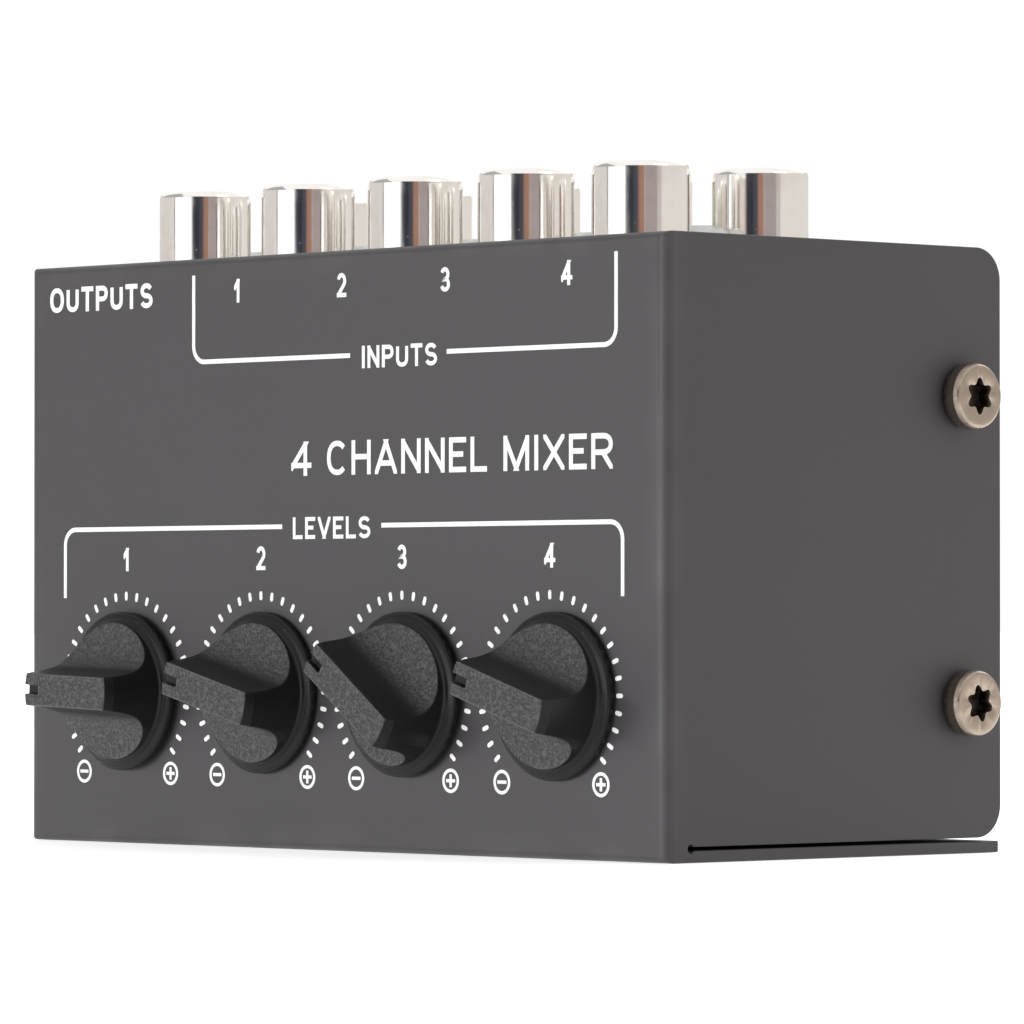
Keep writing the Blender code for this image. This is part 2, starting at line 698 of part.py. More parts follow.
def build():
    clear_scene()
    paint = finish("satin_grey_paint", (0.095, 0.088, 0.095), 0.50, 0.0)
    steel = finish("screw_steel", (0.45, 0.41, 0.36), 0.30, 1.0)
    chrome = finish("bright_nickel", (0.80, 0.77, 0.72), 0.08, 1.0)
    case_grey = finish("pot_case_grey", (0.30, 0.30, 0.30), 0.45, 0.8)
    black = finish("housing_black", (0.015, 0.015, 0.015), 0.45, 0.0)
    white_plastic = finish("insert_white", (0.80, 0.80, 0.78), 0.40, 0.0)
    red_plastic = finish("insert_red", (0.60, 0.03, 0.02), 0.40, 0.0)
    knob_black = finish("knob_black", (0.016, 0.016, 0.017), 0.40, 0.0)
    laminate = finish("board_green", (0.02, 0.12, 0.05), 0.45, 0.0)
    tan = finish("resistor_tan", (0.55, 0.40, 0.22), 0.45, 0.0)

    build_front_shell(paint)
    build_rear_cover(paint)
    build_cover_screws(steel)
    build_jacks(chrome, black, white_plastic, red_plastic, steel)
    for channel in range(CHANNELS):
        axis = bpy.data.objects.new("control_axis_%d" % (channel + 1), None)
        bpy.context.scene.collection.objects.link(axis)
        axis.matrix_basis = Matrix.Translation((control_x(channel), FRONT, CONTROL_HEIGHT)) @ OUTWARD
        build_potentiometer(channel + 1, axis, steel, case_grey)
        build_knob(channel + 1, axis, knob_black)
    build_boards(laminate, black, tan)


build()
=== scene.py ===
"""Four-channel passive stereo mixer: a folded steel box, pointer knobs in front, phono jacks on top."""

import json
import math

import bmesh
import bpy
import numpy as np
from mathutils import Matrix, Vector


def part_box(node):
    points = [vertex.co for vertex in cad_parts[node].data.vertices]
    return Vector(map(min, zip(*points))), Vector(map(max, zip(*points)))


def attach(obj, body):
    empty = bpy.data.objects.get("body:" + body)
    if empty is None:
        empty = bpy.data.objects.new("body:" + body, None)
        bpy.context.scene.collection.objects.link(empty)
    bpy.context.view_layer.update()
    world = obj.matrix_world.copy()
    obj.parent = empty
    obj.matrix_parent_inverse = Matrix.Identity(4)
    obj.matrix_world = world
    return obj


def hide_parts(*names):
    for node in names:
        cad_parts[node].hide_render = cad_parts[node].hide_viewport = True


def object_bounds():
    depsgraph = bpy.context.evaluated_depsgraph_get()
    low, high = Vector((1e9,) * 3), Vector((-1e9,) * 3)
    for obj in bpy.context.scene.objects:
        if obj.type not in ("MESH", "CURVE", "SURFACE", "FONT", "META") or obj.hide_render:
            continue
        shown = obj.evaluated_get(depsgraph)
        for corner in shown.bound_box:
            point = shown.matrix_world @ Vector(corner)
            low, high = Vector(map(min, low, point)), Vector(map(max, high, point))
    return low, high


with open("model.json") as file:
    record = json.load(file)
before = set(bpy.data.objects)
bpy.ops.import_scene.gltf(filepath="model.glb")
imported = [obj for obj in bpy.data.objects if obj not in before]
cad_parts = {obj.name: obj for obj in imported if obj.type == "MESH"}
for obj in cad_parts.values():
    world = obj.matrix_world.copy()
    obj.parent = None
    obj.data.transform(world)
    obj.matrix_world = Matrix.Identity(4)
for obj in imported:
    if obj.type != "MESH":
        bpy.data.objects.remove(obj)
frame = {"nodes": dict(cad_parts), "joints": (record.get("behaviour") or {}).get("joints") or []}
cad_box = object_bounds()

# ---- Front shell ----------------------------------------------------------------------------------
# One piece of 1 mm steel sheet. The front panel's four flanges are folded back, the side seams stay
# open, and satin dark grey paint is sprayed on after folding, so it rounds over bends and cut edges.

SHEET = 0.0010
BEND = 0.0013
LEVEL_BEND = 0.55
BEND_STEPS = 10
SEAM = 0.0003
SEAM_START = 0.0029
RELIEF = 0.00035
FLANGE_CORNER = 0.0028
FLANGE_SETBACK = 0.0003
PAINT_EDGE = 0.00012
PAINT_DARK = (0.034, 0.031, 0.034)
PAINT_LIGHT = (0.044, 0.040, 0.044)
STEM_HOLE = 0.0045
JACK_HOLE = 0.00445
JACK_SCREW_HOLE = 0.0016
COVER_SCREW_HOLE = 0.0017
PAST = 0.0010
CHANNELS = (1, 2, 3, 4)
COLUMNS = ("out", "in_1", "in_2", "in_3", "in_4")
ROWS = ("front", "rear")
SIDES = (("left", -1), ("right", 1))
LEVELS = ("lower", "upper")


class Wire:
    """One output in a material's node tree. Arithmetic on it adds the nodes that do the sum."""

    def __init__(self, tree, socket):
        self.tree = tree
        self.socket = socket

    def node(self, kind, settings=None, inputs=None, output=0):
        made = self.tree.nodes.new(kind)
        for name, value in (settings or {}).items():
            setattr(made, name, value)
        for name, value in (inputs or {}).items():
            plug(self.tree, made.inputs[name], value)
        return Wire(self.tree, made.outputs[output])

    def sum(self, operation, *values):
        return self.node("ShaderNodeMath", {"operation": operation}, dict(enumerate(values)))

    def __add__(self, other):
        return self.sum("ADD", self, other)

    def __radd__(self, other):
        return self.sum("ADD", other, self)

    def __sub__(self, other):
        return self.sum("SUBTRACT", self, other)

    def __rsub__(self, other):
        return self.sum("SUBTRACT", other, self)

    def __mul__(self, other):
        return self.sum("MULTIPLY", self, other)

    def __rmul__(self, other):
        return self.sum("MULTIPLY", other, self)

    def __truediv__(self, other):
        return self.sum("DIVIDE", self, other)

    def __pow__(self, other):
        return self.sum("POWER", self, other)

    def __abs__(self):
        return self.sum("ABSOLUTE", self)

    def least(self, other):
        return self.sum("MINIMUM", self, other)

    def most(self, other):
        return self.sum("MAXIMUM", self, other)

    def ramp(self, low, high):
        """0 below low and 1 above high, or the other way round if low is the larger."""
        settings = {"interpolation_type": "SMOOTHSTEP"}
        return self.node("ShaderNodeMapRange", settings, {0: self, 1: low, 2: high})

    def blend(self, low, high):
        """The colour low where this is 0 and high where it is 1."""
        settings = {"data_type": "RGBA", "clamp_factor": True}
        return self.node("ShaderNodeMix", settings, {0: self, 6: low, 7: high}, 2)

    def parts(self):
        split = self.node("ShaderNodeSeparateXYZ", None, {0: self})
        outputs = split.socket.node.outputs
        return [Wire(self.tree, outputs[axis]) for axis in range(3)]

    def stretch(self, x, y, z):
        settings = {"operation": "MULTIPLY"}
        return self.node("ShaderNodeVectorMath", settings, {0: self, 1: (x, y, z)})

    def noise(self, size, detail=3.0, roughness=0.5):
        """Cloudy grain whose patches are about the given size in metres."""
        inputs = {"Vector": self, "Scale": 1 / size, "Detail": detail, "Roughness": roughness}
        return self.node("ShaderNodeTexNoise", None, inputs)

    def cells(self, size, feature="F1"):
        inputs = {"Vector": self, "Scale": 1 / size}
        return self.node("ShaderNodeTexVoronoi", {"feature": feature}, inputs)

    def bump(self, depth, normal=None):
        """A surface normal from this height, whose full swing is the given depth in metres."""
        inputs = {"Height": self, "Distance": depth, "Strength": 1.0}
        if normal is not None:
            inputs["Normal"] = normal
        return self.node("ShaderNodeBump", None, inputs)


def plug(tree, socket, value):
    if isinstance(value, Wire):
        tree.links.new(value.socket, socket)
    elif isinstance(value, tuple) and socket.type == "RGBA":
        socket.default_value = (*value[:3], 1.0)
    else:
        socket.default_value = value


def new_material(name):
    """A new material, and where the shaded point is in the piece's own metres."""
    made = bpy.data.materials.new(name)
    made.use_nodes = True
    start = made.node_tree.nodes.new("ShaderNodeTexCoord")
    return made, Wire(made.node_tree, start.outputs["Object"])


def coat(material, **inputs):
    """Sets the surface, with a socket's name written with underscores for spaces."""
    shader = material.node_tree.nodes["Principled BSDF"]
    for name, value in inputs.items():
        plug(material.node_tree, shader.inputs[name.replace("_", " ")], value)


def add_prism(bm, outline, low, high, place=Matrix()):
    rings = [[bm.verts.new(place @ Vector((x, y, z))) for x, y in outline] for z in (low, high)]
    bm.faces.new(rings[0][::-1])
    bm.faces.new(rings[1])
    for here in range(len(outline)):
        after = (here + 1) % len(outline)
        bm.faces.new((rings[0][here], rings[0][after], rings[1][after], rings[1][here]))


def add_box(bm, low, high):
    corners = [(low[0], low[1]), (high[0], low[1]), (high[0], high[1]), (low[0], high[1])]
    add_prism(bm, corners, low[2], high[2])


def add_turned(bm, profile, segments, place=Matrix()):
    """The solid of (radius, height) points turned round Z, a ring when both ends lie off the axis."""
    rings = []
    for radius, height in profile:
        count = segments if radius > 0 else 1
        angles = [math.tau * step / segments for step in range(count)]
        ring = [Vector((radius * math.cos(a), radius * math.sin(a), height)) for a in angles]
        rings.append([bm.verts.new(place @ point) for point in ring])
    pairs = list(zip(rings, rings[1:]))
    if profile[0][0] > 0 and profile[-1][0] > 0:
        pairs.append((rings[-1], rings[0]))
    for lower, upper in pairs:
        for here in range(segments):
            after = (here + 1) % segments
            corners = [lower[here % len(lower)], lower[after % len(lower)]]
            corners += [upper[after % len(upper)], upper[here % len(upper)]]
            bm.faces.new(list(dict.fromkeys(corners)))


def circle(radius, count=64):
    angles = [math.tau * step / count for step in range(count)]
    return [(radius * math.cos(a), radius * math.sin(a)) for a in angles]


def rounded(profile, radius, steps=5, share=0.45):
    """The profile with each inner point replaced by an arc that uses up to this share of each side."""
    points = [Vector(point) for point in profile]
    result = [profile[0]]
    for before, here, after in zip(points, points[1:], points[2:]):
        back = before - here
        ahead = after - here
        half_turn = back.angle(ahead, math.pi) / 2
        reach = min(radius / max(math.tan(half_turn), 1e-6), back.length * share, ahead.length * share)
        start = here + back.normalized() * reach
        end = here + ahead.normalized() * reach
        for step in range(steps + 1):
            t = step / steps
            point = start * (1 - t) ** 2 + here * 2 * t * (1 - t) + end * t ** 2
            result.append(tuple(point))
    return result + [profile[-1]]


def new_piece(name, bm, material=None, place=Matrix()):
    bmesh.ops.recalc_face_normals(bm, faces=bm.faces)
    mesh = bpy.data.meshes.new(name)
    bm.to_mesh(mesh)
    bm.free()
    mesh.shade_smooth()
    made = bpy.data.objects.new(name, mesh)
    bpy.context.scene.collection.objects.link(made)
    made.matrix_world = place
    if material:
        mesh.materials.append(material)
    return made


def settle(piece):
    """Makes the piece's modifiers part of its mesh."""
    graph = bpy.context.evaluated_depsgraph_get()
    done = bpy.data.meshes.new_from_object(piece.evaluated_get(graph))
    piece.modifiers.clear()
    piece.data = done


def carve(piece, bm, operation="DIFFERENCE"):
    cutter = new_piece("cutter", bm, None, piece.matrix_world)
    boolean = piece.modifiers.new("carve", "BOOLEAN")
    boolean.operation = operation
    boolean.object = cutter
    boolean.solver = "EXACT"
    settle(piece)
    bpy.data.objects.remove(cutter, do_unlink=True)


def ease_edges(piece, width, segments=2, angle=38):
    """Rounds every sharp edge a little and shades the flats as flat."""
    bevel = piece.modifiers.new("edges", "BEVEL")
    bevel.width = width
    bevel.segments = segments
    bevel.limit_method = "ANGLE"
    bevel.angle_limit = math.radians(angle)
    bevel.use_clamp_overlap = False
    weighted = piece.modifiers.new("normals", "WEIGHTED_NORMAL")
    weighted.keep_sharp = False
    settle(piece)


def hand_over(piece, body, slot, *nodes):
    """Says which body the piece moves with and which CAD nodes it stands for; the finish given as slot is
    not used.
    """
    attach(piece, body)
    if nodes:
        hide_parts(*nodes)


def satin_paint():
    """Sprayed satin paint: fine droplet grain, a slow ripple, faint clouding and worn bends."""
    made, place = new_material("satin_grey_paint")
    low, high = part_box("front_shell")
    x, y, z = place.parts()
    from_side = high.x - abs(x)
    from_front = y - low.y
    from_end = (z - low.z).least(high.z - z)
    along_side_bend = (from_side + from_front).ramp(0.0030, 0.0006)
    along_end_bend = (from_end + from_front).ramp(0.0030, 0.0006)
    rubbed = along_side_bend.most(along_end_bend) * place.noise(0.0060, 2.0).ramp(0.30, 0.75)
    clouds = place.noise(0.012, 3.0)
    droplets = place.noise(0.00016, 2.0)
    ripple = place.noise(0.0011, 2.0)
    lint = place.cells(0.0031).ramp(0.020, 0.012) * place.noise(0.009, 1.0).ramp(0.60, 0.66)
    scratches = place.stretch(1.0, 1.0, 9.0).noise(0.0016, 2.0).ramp(0.735, 0.76)
    shade = (clouds * 0.75 + droplets * 0.25).blend(PAINT_DARK, PAINT_LIGHT)
    shade = (rubbed * 0.12).blend(shade, (0.105, 0.098, 0.102))
    shade = (lint * 0.4 + scratches * 0.06).blend(shade, (0.24, 0.23, 0.23))
    gloss = 0.46 + 0.10 * clouds + 0.06 * droplets - 0.08 * rubbed
    height = droplets * 0.35 + ripple * 0.65
    coat(made, Base_Color=shade, Roughness=gloss, Normal=height.bump(0.000012))
    return made


def corner_scrap(corner, inward, radius, steps=12):
    """What lies outside a rounded corner, reaching half a seam past both edges that meet there."""
    centre = (corner[0] + inward[0] * radius, corner[1] + inward[1] * radius)
    arc = []
    for step in range(steps + 1):
        angle = math.radians(90 * step / steps)
        first = centre[0] - inward[0] * radius * math.sin(angle)
        second = centre[1] - inward[1] * radius * math.cos(angle)
        arc.append((first, second))
    past = (corner[0] - inward[0] * SEAM / 2, corner[1] - inward[1] * SEAM / 2)
    return arc + [(past[0], centre[1]), past, (centre[0], past[1])]


def fold(bm, y, radius, segments):
    """Rounds the four edges that lie in the plane at y."""
    edges = [edge for edge in bm.edges if all(abs(v.co.y - y) < 1e-5 for v in edge.verts)]
    bmesh.ops.bevel(bm, geom=edges, offset=radius, segments=segments, profile=0.5, affect="EDGES")


def fold_outside(piece, y, radius, level_share, segments):
    """Rounds a panel's four outer bends in the plane at y, the level ones to a share of the radius."""
    mesh = piece.data
    weights = mesh.attributes.new("bevel_weight_edge", "FLOAT", "EDGE")
    for edge in mesh.edges:
        ends = [mesh.vertices[index].co for index in edge.vertices]
        if all(abs(end.y - y) < 1e-5 for end in ends):
            upright = abs(ends[0].z - ends[1].z) > 1e-5
            weights.data[edge.index].value = 1.0 if upright else level_share
    bevel = piece.modifiers.new("bends", "BEVEL")
    bevel.width = radius
    bevel.segments = segments
    bevel.limit_method = "WEIGHT"
    settle(piece)
    piece.data.attributes.remove(piece.data.attributes["bevel_weight_edge"])


def screw_place(name, side, inwards):
    """The middle of a cover screw's seat, with Z out of the side flange."""
    low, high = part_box(name)
    seat = Vector((side * inwards, (low.y + high.y) / 2, (low.z + high.z) / 2))
    return Matrix.Translation(seat) @ Matrix.Rotation(math.radians(90 * side), 4, "Y")


shell_low, shell_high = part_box("front_shell")
half_width = shell_high.x
inner_half = half_width - SHEET
front = shell_low.y
back = shell_high.y
top = shell_high.z
panel_back = front + SHEET
inner_top = top - SHEET
paint = satin_paint()

bm = bmesh.new()
add_box(bm, shell_low, shell_high)
shell = new_piece("painted_shell", bm, paint)
fold_outside(shell, front, BEND, LEVEL_BEND, BEND_STEPS)

bm = bmesh.new()
add_box(bm, (-inner_half, panel_back, SHEET), (inner_half, back + PAST, inner_top))
fold(bm, panel_back, BEND - SHEET, 4)
carve(shell, bm)

bm = bmesh.new()
for side in (-1, 1):
    across = sorted((side * (inner_half - PAST), side * (half_width + PAST)))
    add_box(bm, (across[0], front + SEAM_START, SHEET), (across[1], back + PAST, SHEET + SEAM))
carve(shell, bm)

bm = bmesh.new()
sideways = Matrix.Rotation(math.radians(90), 4, "Y")
for side in (-1, 1):
    middle = Matrix.Translation((side * half_width, front + SEAM_START, SHEET + SEAM / 2))
    add_prism(bm, circle(RELIEF, 20), -SHEET - PAST, SHEET + PAST, middle @ sideways)
carve(shell, bm)

bm = bmesh.new()
for side in (-1, 1):
    across = sorted((side * (inner_half - SEAM), side * inner_half))
    add_box(bm, (across[0], front + SEAM_START, inner_top - PAST), (across[1], back + PAST, top + PAST))
carve(shell, bm)

bm = bmesh.new()
upright = Matrix(((0, 0, 1, 0), (1, 0, 0, 0), (0, 1, 0, 0), (0, 0, 0, 1)))
for side in (-1, 1):
    across = sorted((side * (inner_half - SEAM / 2), side * (half_width + PAST)))
    for corner_z, into_z in ((SHEET + SEAM, 1), (top, -1)):
        outline = corner_scrap((back, corner_z), (-1, into_z), FLANGE_CORNER)
        add_prism(bm, outline, across[0], across[1], upright)
carve(shell, bm)

bm = bmesh.new()
flange_end = back - FLANGE_SETBACK
reach = inner_half - SEAM / 2
add_box(bm, (-reach, flange_end, inner_top - PAST), (reach, back + PAST, top + PAST))
past = half_width + PAST
add_box(bm, (-past, flange_end, -PAST), (past, back + PAST, SHEET + SEAM / 2))
carve(shell, bm)

bm = bmesh.new()
for side in (-1, 1):
    outline = corner_scrap((side * (inner_half - SEAM), flange_end), (-side, -1), FLANGE_CORNER)
    add_prism(bm, outline, inner_top - PAST, top + PAST)
carve(shell, bm)

bm = bmesh.new()
for column in COLUMNS:
    for row in ROWS:
        low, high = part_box("jack_barrel_%s_%s" % (column, row))
        place = Matrix.Translation(((low.x + high.x) / 2, (low.y + high.y) / 2, inner_top))
        add_prism(bm, circle(JACK_HOLE), -PAST, SHEET + PAST, place)
    low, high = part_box("jack_screw_" + column)
    place = Matrix.Translation(((low.x + high.x) / 2, (low.y + high.y) / 2, inner_top))
    add_prism(bm, circle(JACK_SCREW_HOLE, 32), -PAST, SHEET + PAST, place)
outward = Matrix.Rotation(math.radians(90), 4, "X")
for joint in frame["joints"]:
    place = Matrix.Translation(joint["pos_m"]) @ outward
    add_prism(bm, circle(STEM_HOLE), -SHEET - PAST, PAST, place)
for side_name, side in SIDES:
    for level in LEVELS:
        place = screw_place("cover_screw_%s_%s" % (side_name, level), side, half_width)
        add_prism(bm, circle(COVER_SCREW_HOLE, 32), -SHEET - PAST, PAST, place)
carve(shell, bm)
ease_edges(shell, PAINT_EDGE)
hand_over(shell, "chassis", "satin_grey_paint", "front_shell")

# ---- Rear cover -----------------------------------------------------------------------------------
# A shallow pan folded from the same sheet, painted like the shell. It slides in between the flanges,
# and the side screws go into its two deep tabs. Its corners are notched so that the folds don't meet.

COVER_LIP_DEPTH = 0.0060
COVER_NOTCH = 0.0030
COVER_TAPPED = 0.0017

cover_low, cover_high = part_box("rear_cover")
bm = bmesh.new()
add_box(bm, cover_low, cover_high)
fold(bm, cover_high.y, BEND, BEND_STEPS)
cover = new_piece("painted_cover", bm, paint)

bm = bmesh.new()
low = (cover_low.x + SHEET, cover_low.y - PAST, cover_low.z + SHEET)
add_box(bm, low, (cover_high.x - SHEET, cover_high.y - SHEET, cover_high.z - SHEET))
carve(cover, bm)

lip_x = cover_high.x - COVER_NOTCH
past = cover_high.x + PAST
for low_z, high_z in (
    (cover_low.z - PAST, cover_low.z + COVER_NOTCH),
    (cover_high.z - COVER_NOTCH, cover_high.z + PAST),
):
    bm = bmesh.new()
    deep = cover_low.y - PAST
    add_box(bm, (-lip_x, deep, low_z), (lip_x, cover_high.y - COVER_LIP_DEPTH, high_z))
    carve(cover, bm)
    for side in (-1, 1):
        bm = bmesh.new()
        across = sorted((side * lip_x, side * past))
        add_box(bm, (across[0], deep, low_z), (across[1], cover_high.y - BEND, high_z))
        carve(cover, bm)

bm = bmesh.new()
for side_name, side in SIDES:
    for level in LEVELS:
        place = screw_place("cover_screw_%s_%s" % (side_name, level), side, half_width)
        add_prism(bm, circle(COVER_TAPPED, 32), -3 * SHEET, PAST, place)
carve(cover, bm)
ease_edges(cover, PAINT_EDGE)
hand_over(cover, "chassis", "satin_grey_paint", "rear_cover")

# ---- Front panel print ----------------------------------------------------------------------------
# White ink screened on the panel after painting: plain numbers and words, a scale of ticks round each
# control with minus and plus signs, and brackets that tie the groups together.

INK = 0.00002
INK_DEPTH = 0.00001
INK_STEP = 0.0000004
INK_STEPS = 23
LINE = 0.00040
LINE_TURN = 0.0014
SCALE_PLACES = (-0.0273, -0.0091, 0.0091, 0.0273)
SCALE_HEIGHT = 0.0136
TICK_CIRCLE = 0.0083
TICK_LENGTH = 0.0008
TICK_WIDTH = 0.00038
TICK_STEP = 10
TICK_END = 130
SIGN_PLACES = ((-0.0058, -0.0073), (0.0061, -0.0073))
SIGN_RADIUS = 0.00103
SIGN_LINE = 0.00028
SIGN_STROKE = 0.0011
DIGIT_HEIGHT = 0.00207
DIGIT_WIDTH = 0.00215
DIGIT_STROKE = 0.00036


def ink():
    made, place = new_material("panel_ink")
    grain = place.noise(0.00009, 3.0)
    thin = place.noise(0.0009, 4.0).ramp(0.60, 0.74)
    shade = (grain * 0.3 + thin * 0.4).blend((0.90, 0.90, 0.90), (0.74, 0.74, 0.74))
    coat(made, Base_Color=shade, Roughness=0.45 + 0.2 * grain, Normal=grain.bump(0.000004))
    return made


def lift(bm, outline):
    """Adds an (x, z) outline as a thin plate of ink on the panel, never level with one it may cross."""
    upright = Matrix(((1, 0, 0, 0), (0, 0, -1, front), (0, 1, 0, 0), (0, 0, 0, 1)))
    add_prism(bm, outline, -INK_DEPTH, INK - INK_STEP * (len(bm.verts) // 8 % INK_STEPS), upright)


def add_ribbon(bm, points, width):
    """A line of ink along the points, mitred where it bends, closed when its ends meet."""
    points = [Vector(point) for point in points]
    gaps = [1.0] + [(after - before).length for before, after in zip(points, points[1:])]
    points = [point for point, gap in zip(points, gaps) if gap > 1e-6]
    closed = (points[0] - points[-1]).length < 1e-7
    edges = []
    for here, point in enumerate(points):
        before = points[here - 1] if here else points[-2] if closed else None
        after = points[here + 1] if here + 1 < len(points) else points[1] if closed else None
        ways = [(point - before).normalized()] if before else []
        ways += [(after - point).normalized()] if after else []
        along = (ways[0] + ways[-1]).normalized()
        across = Vector((-along.y, along.x)) * width / 2 / max(along.dot(ways[0]), 0.4)
        edges.append((point + across, point - across))
    for (left, right), (next_left, next_right) in zip(edges, edges[1:]):
        lift(bm, [tuple(left), tuple(right), tuple(next_right), tuple(next_left)])


def arc(centre, radius, start, end, steps=8):
    angles = [math.radians(start + (end - start) * step / steps) for step in range(steps + 1)]
    return [(centre[0] + radius * math.cos(a), centre[1] + radius * math.sin(a)) for a in angles]


def add_bracket(bm, left, right, open_z, bar_z, gap):
    """A square bracket with rounded corners, whose bar is broken to leave room for a word."""
    over = 1 if bar_z > open_z else -1
    corner = (left + LINE_TURN, bar_z - over * LINE_TURN)
    line = [(left, open_z)] + arc(corner, LINE_TURN, 180, 180 - 90 * over) + [(gap[0], bar_z)]
    add_ribbon(bm, line, LINE)
    corner = (right - LINE_TURN, bar_z - over * LINE_TURN)
    line = [(gap[1], bar_z)] + arc(corner, LINE_TURN, 90 * over, 0) + [(right, open_z)]
    add_ribbon(bm, line, LINE)


def oval(start, end, centre=(0.5, 0.5), reach=(0.5, 0.5), steps=18, squareness=0.88):
    """Part of a slightly squared oval."""
    points = []
    for step in range(steps + 1):
        angle = math.radians(start + (end - start) * step / steps)
        across, up = math.cos(angle), math.sin(angle)
        x = centre[0] + reach[0] * math.copysign(abs(across) ** squareness, across)
        points.append((x, centre[1] + reach[1] * math.copysign(abs(up) ** squareness, up)))
    return points


# Each character: its width for a height of 1, its straight strokes and its curved ones
BOWL = [(0.0, 1.0)] + oval(90, -90, (0.55, 0.73), (0.45, 0.27)) + [(0.0, 0.46)]
LETTERS = {
    "A": (0.66, [((0, 0), (0.5, 1)), ((1, 0), (0.5, 1)), ((0.2, 0.28), (0.8, 0.28))], []),
    "C": (0.62, [], [oval(42, 318)]),
    "E": (0.50, [((0, 0), (0, 1)), ((0, 1), (1, 1)), ((0, 0), (1, 0)), ((0, 0.52), (0.92, 0.52))], []),
    "H": (0.58, [((0, 0), (0, 1)), ((1, 0), (1, 1)), ((0, 0.52), (1, 0.52))], []),
    "I": (0.15, [((0.5, 0), (0.5, 1))], []),
    "L": (0.48, [((0, 0), (0, 1)), ((0, 0), (1, 0))], []),
    "M": (0.74, [((0, 0), (0, 1)), ((1, 0), (1, 1)), ((0, 1), (0.5, 0)), ((1, 1), (0.5, 0))], []),
    "N": (0.58, [((0, 0), (0, 1)), ((1, 0), (1, 1)), ((0, 1), (1, 0))], []),
    "O": (0.66, [], [oval(0, 360, steps=36)]),
    "P": (0.56, [((0, 0), (0, 1))], [BOWL]),
    "R": (0.60, [((0, 0), (0, 1)), ((0.55, 0.46), (1, 0))], [BOWL]),
    "S": (
        0.58,
        [],
        [
            oval(22, 270, (0.5, 0.745), (0.47, 0.255), squareness=1.0)
            + oval(90, -160, (0.5, 0.25), (0.5, 0.25), squareness=1.0)
        ],
    ),
    "T": (0.56, [((0, 1), (1, 1)), ((0.5, 0), (0.5, 1))], []),
    "U": (0.58, [], [[(0, 1)] + oval(180, 360, (0.5, 0.34), (0.5, 0.34)) + [(1, 1)]]),
    "V": (0.62, [((0, 1), (0.5, 0)), ((1, 1), (0.5, 0))], []),
    "X": (0.60, [((0, 0), (1, 1)), ((0, 1), (1, 0))], []),
    "1": (0.34, [((0.9, 0), (0.9, 1)), ((0, 0.74), (0.9, 1))], []),
    "2": (
        0.56,
        [((0, 0), (1, 0))],
        [oval(165, -35, (0.5, 0.71), (0.48, 0.29), squareness=1.0) + [(0.05, 0.04)]],
    ),
    "3": (
        0.56,
        [],
        [
            oval(160, -90, (0.47, 0.755), (0.45, 0.245), squareness=1.0)
            + oval(90, -160, (0.49, 0.26), (0.51, 0.26), squareness=1.0)
        ],
    ),
    "4": (0.62, [((0.74, 0), (0.74, 1)), ((0, 0.27), (0.74, 1)), ((0, 0.27), (1, 0.27))], []),
    " ": (0.22, [], []),
}
LETTER_SPACE = 0.13


def clipped(polygon, low, high):
    """The part of a convex polygon that lies in the rectangle."""
    for axis in (0, 1):
        for limit, way in ((low[axis], 1), (high[axis], -1)):
            kept = []
            for here, after in zip(polygon, polygon[1:] + polygon[:1]):
                near, far = way * (here[axis] - limit), way * (after[axis] - limit)
                if near >= 0:
                    kept.append(here)
                if near * far < 0:
                    kept.append(here.lerp(after, near / (near - far)))
            polygon = kept
    return polygon


def add_letters(bm, text, left, right, low, high, stroke):
    """Plain letters of one stroke width, set side by side to fill a rectangle of the panel."""
    unit = (right - left) / (sum(LETTERS[letter][0] for letter in text) + LETTER_SPACE * (len(text) - 1))
    inset = Vector((stroke / 2, stroke / 2))
    for letter in text:
        width, straight, curved = LETTERS[letter]
        start = Vector((left, low))
        end = Vector((left + max(width * unit, stroke), high))
        room = end - start - 2 * inset
        for points in straight:
            ends = [start + inset + Vector((u * room.x, v * room.y)) for u, v in points]
            along = (ends[1] - ends[0]).normalized()
            for index, way in ((0, -1), (1, 1)):
                if 0 in points[index] or 1 in points[index]:
                    ends[index] = ends[index] + along * stroke * way
            across = Vector((-along.y, along.x)) * stroke / 2
            bar = [ends[0] + across, ends[0] - across, ends[1] - across, ends[1] + across]
            lift(bm, [tuple(point) for point in clipped(bar, start, end)])
        for points in curved:
            add_ribbon(bm, [start + inset + Vector((u * room.x, v * room.y)) for u, v in points], stroke)
        left += (width + LETTER_SPACE) * unit


def add_digit(bm, digit, x, z):
    wide = LETTERS[str(digit)][0] * DIGIT_WIDTH
    low = z - DIGIT_HEIGHT / 2
    add_letters(bm, str(digit), x - wide / 2, x + wide / 2, low, low + DIGIT_HEIGHT, DIGIT_STROKE)


def print_piece(name, bm, material):
    bmesh.ops.remove_doubles(bm, verts=bm.verts, dist=1e-7)
    made = new_piece(name, bm, material)
    made.data.shade_flat()
    hand_over(made, "chassis", "insert_white")
    return made


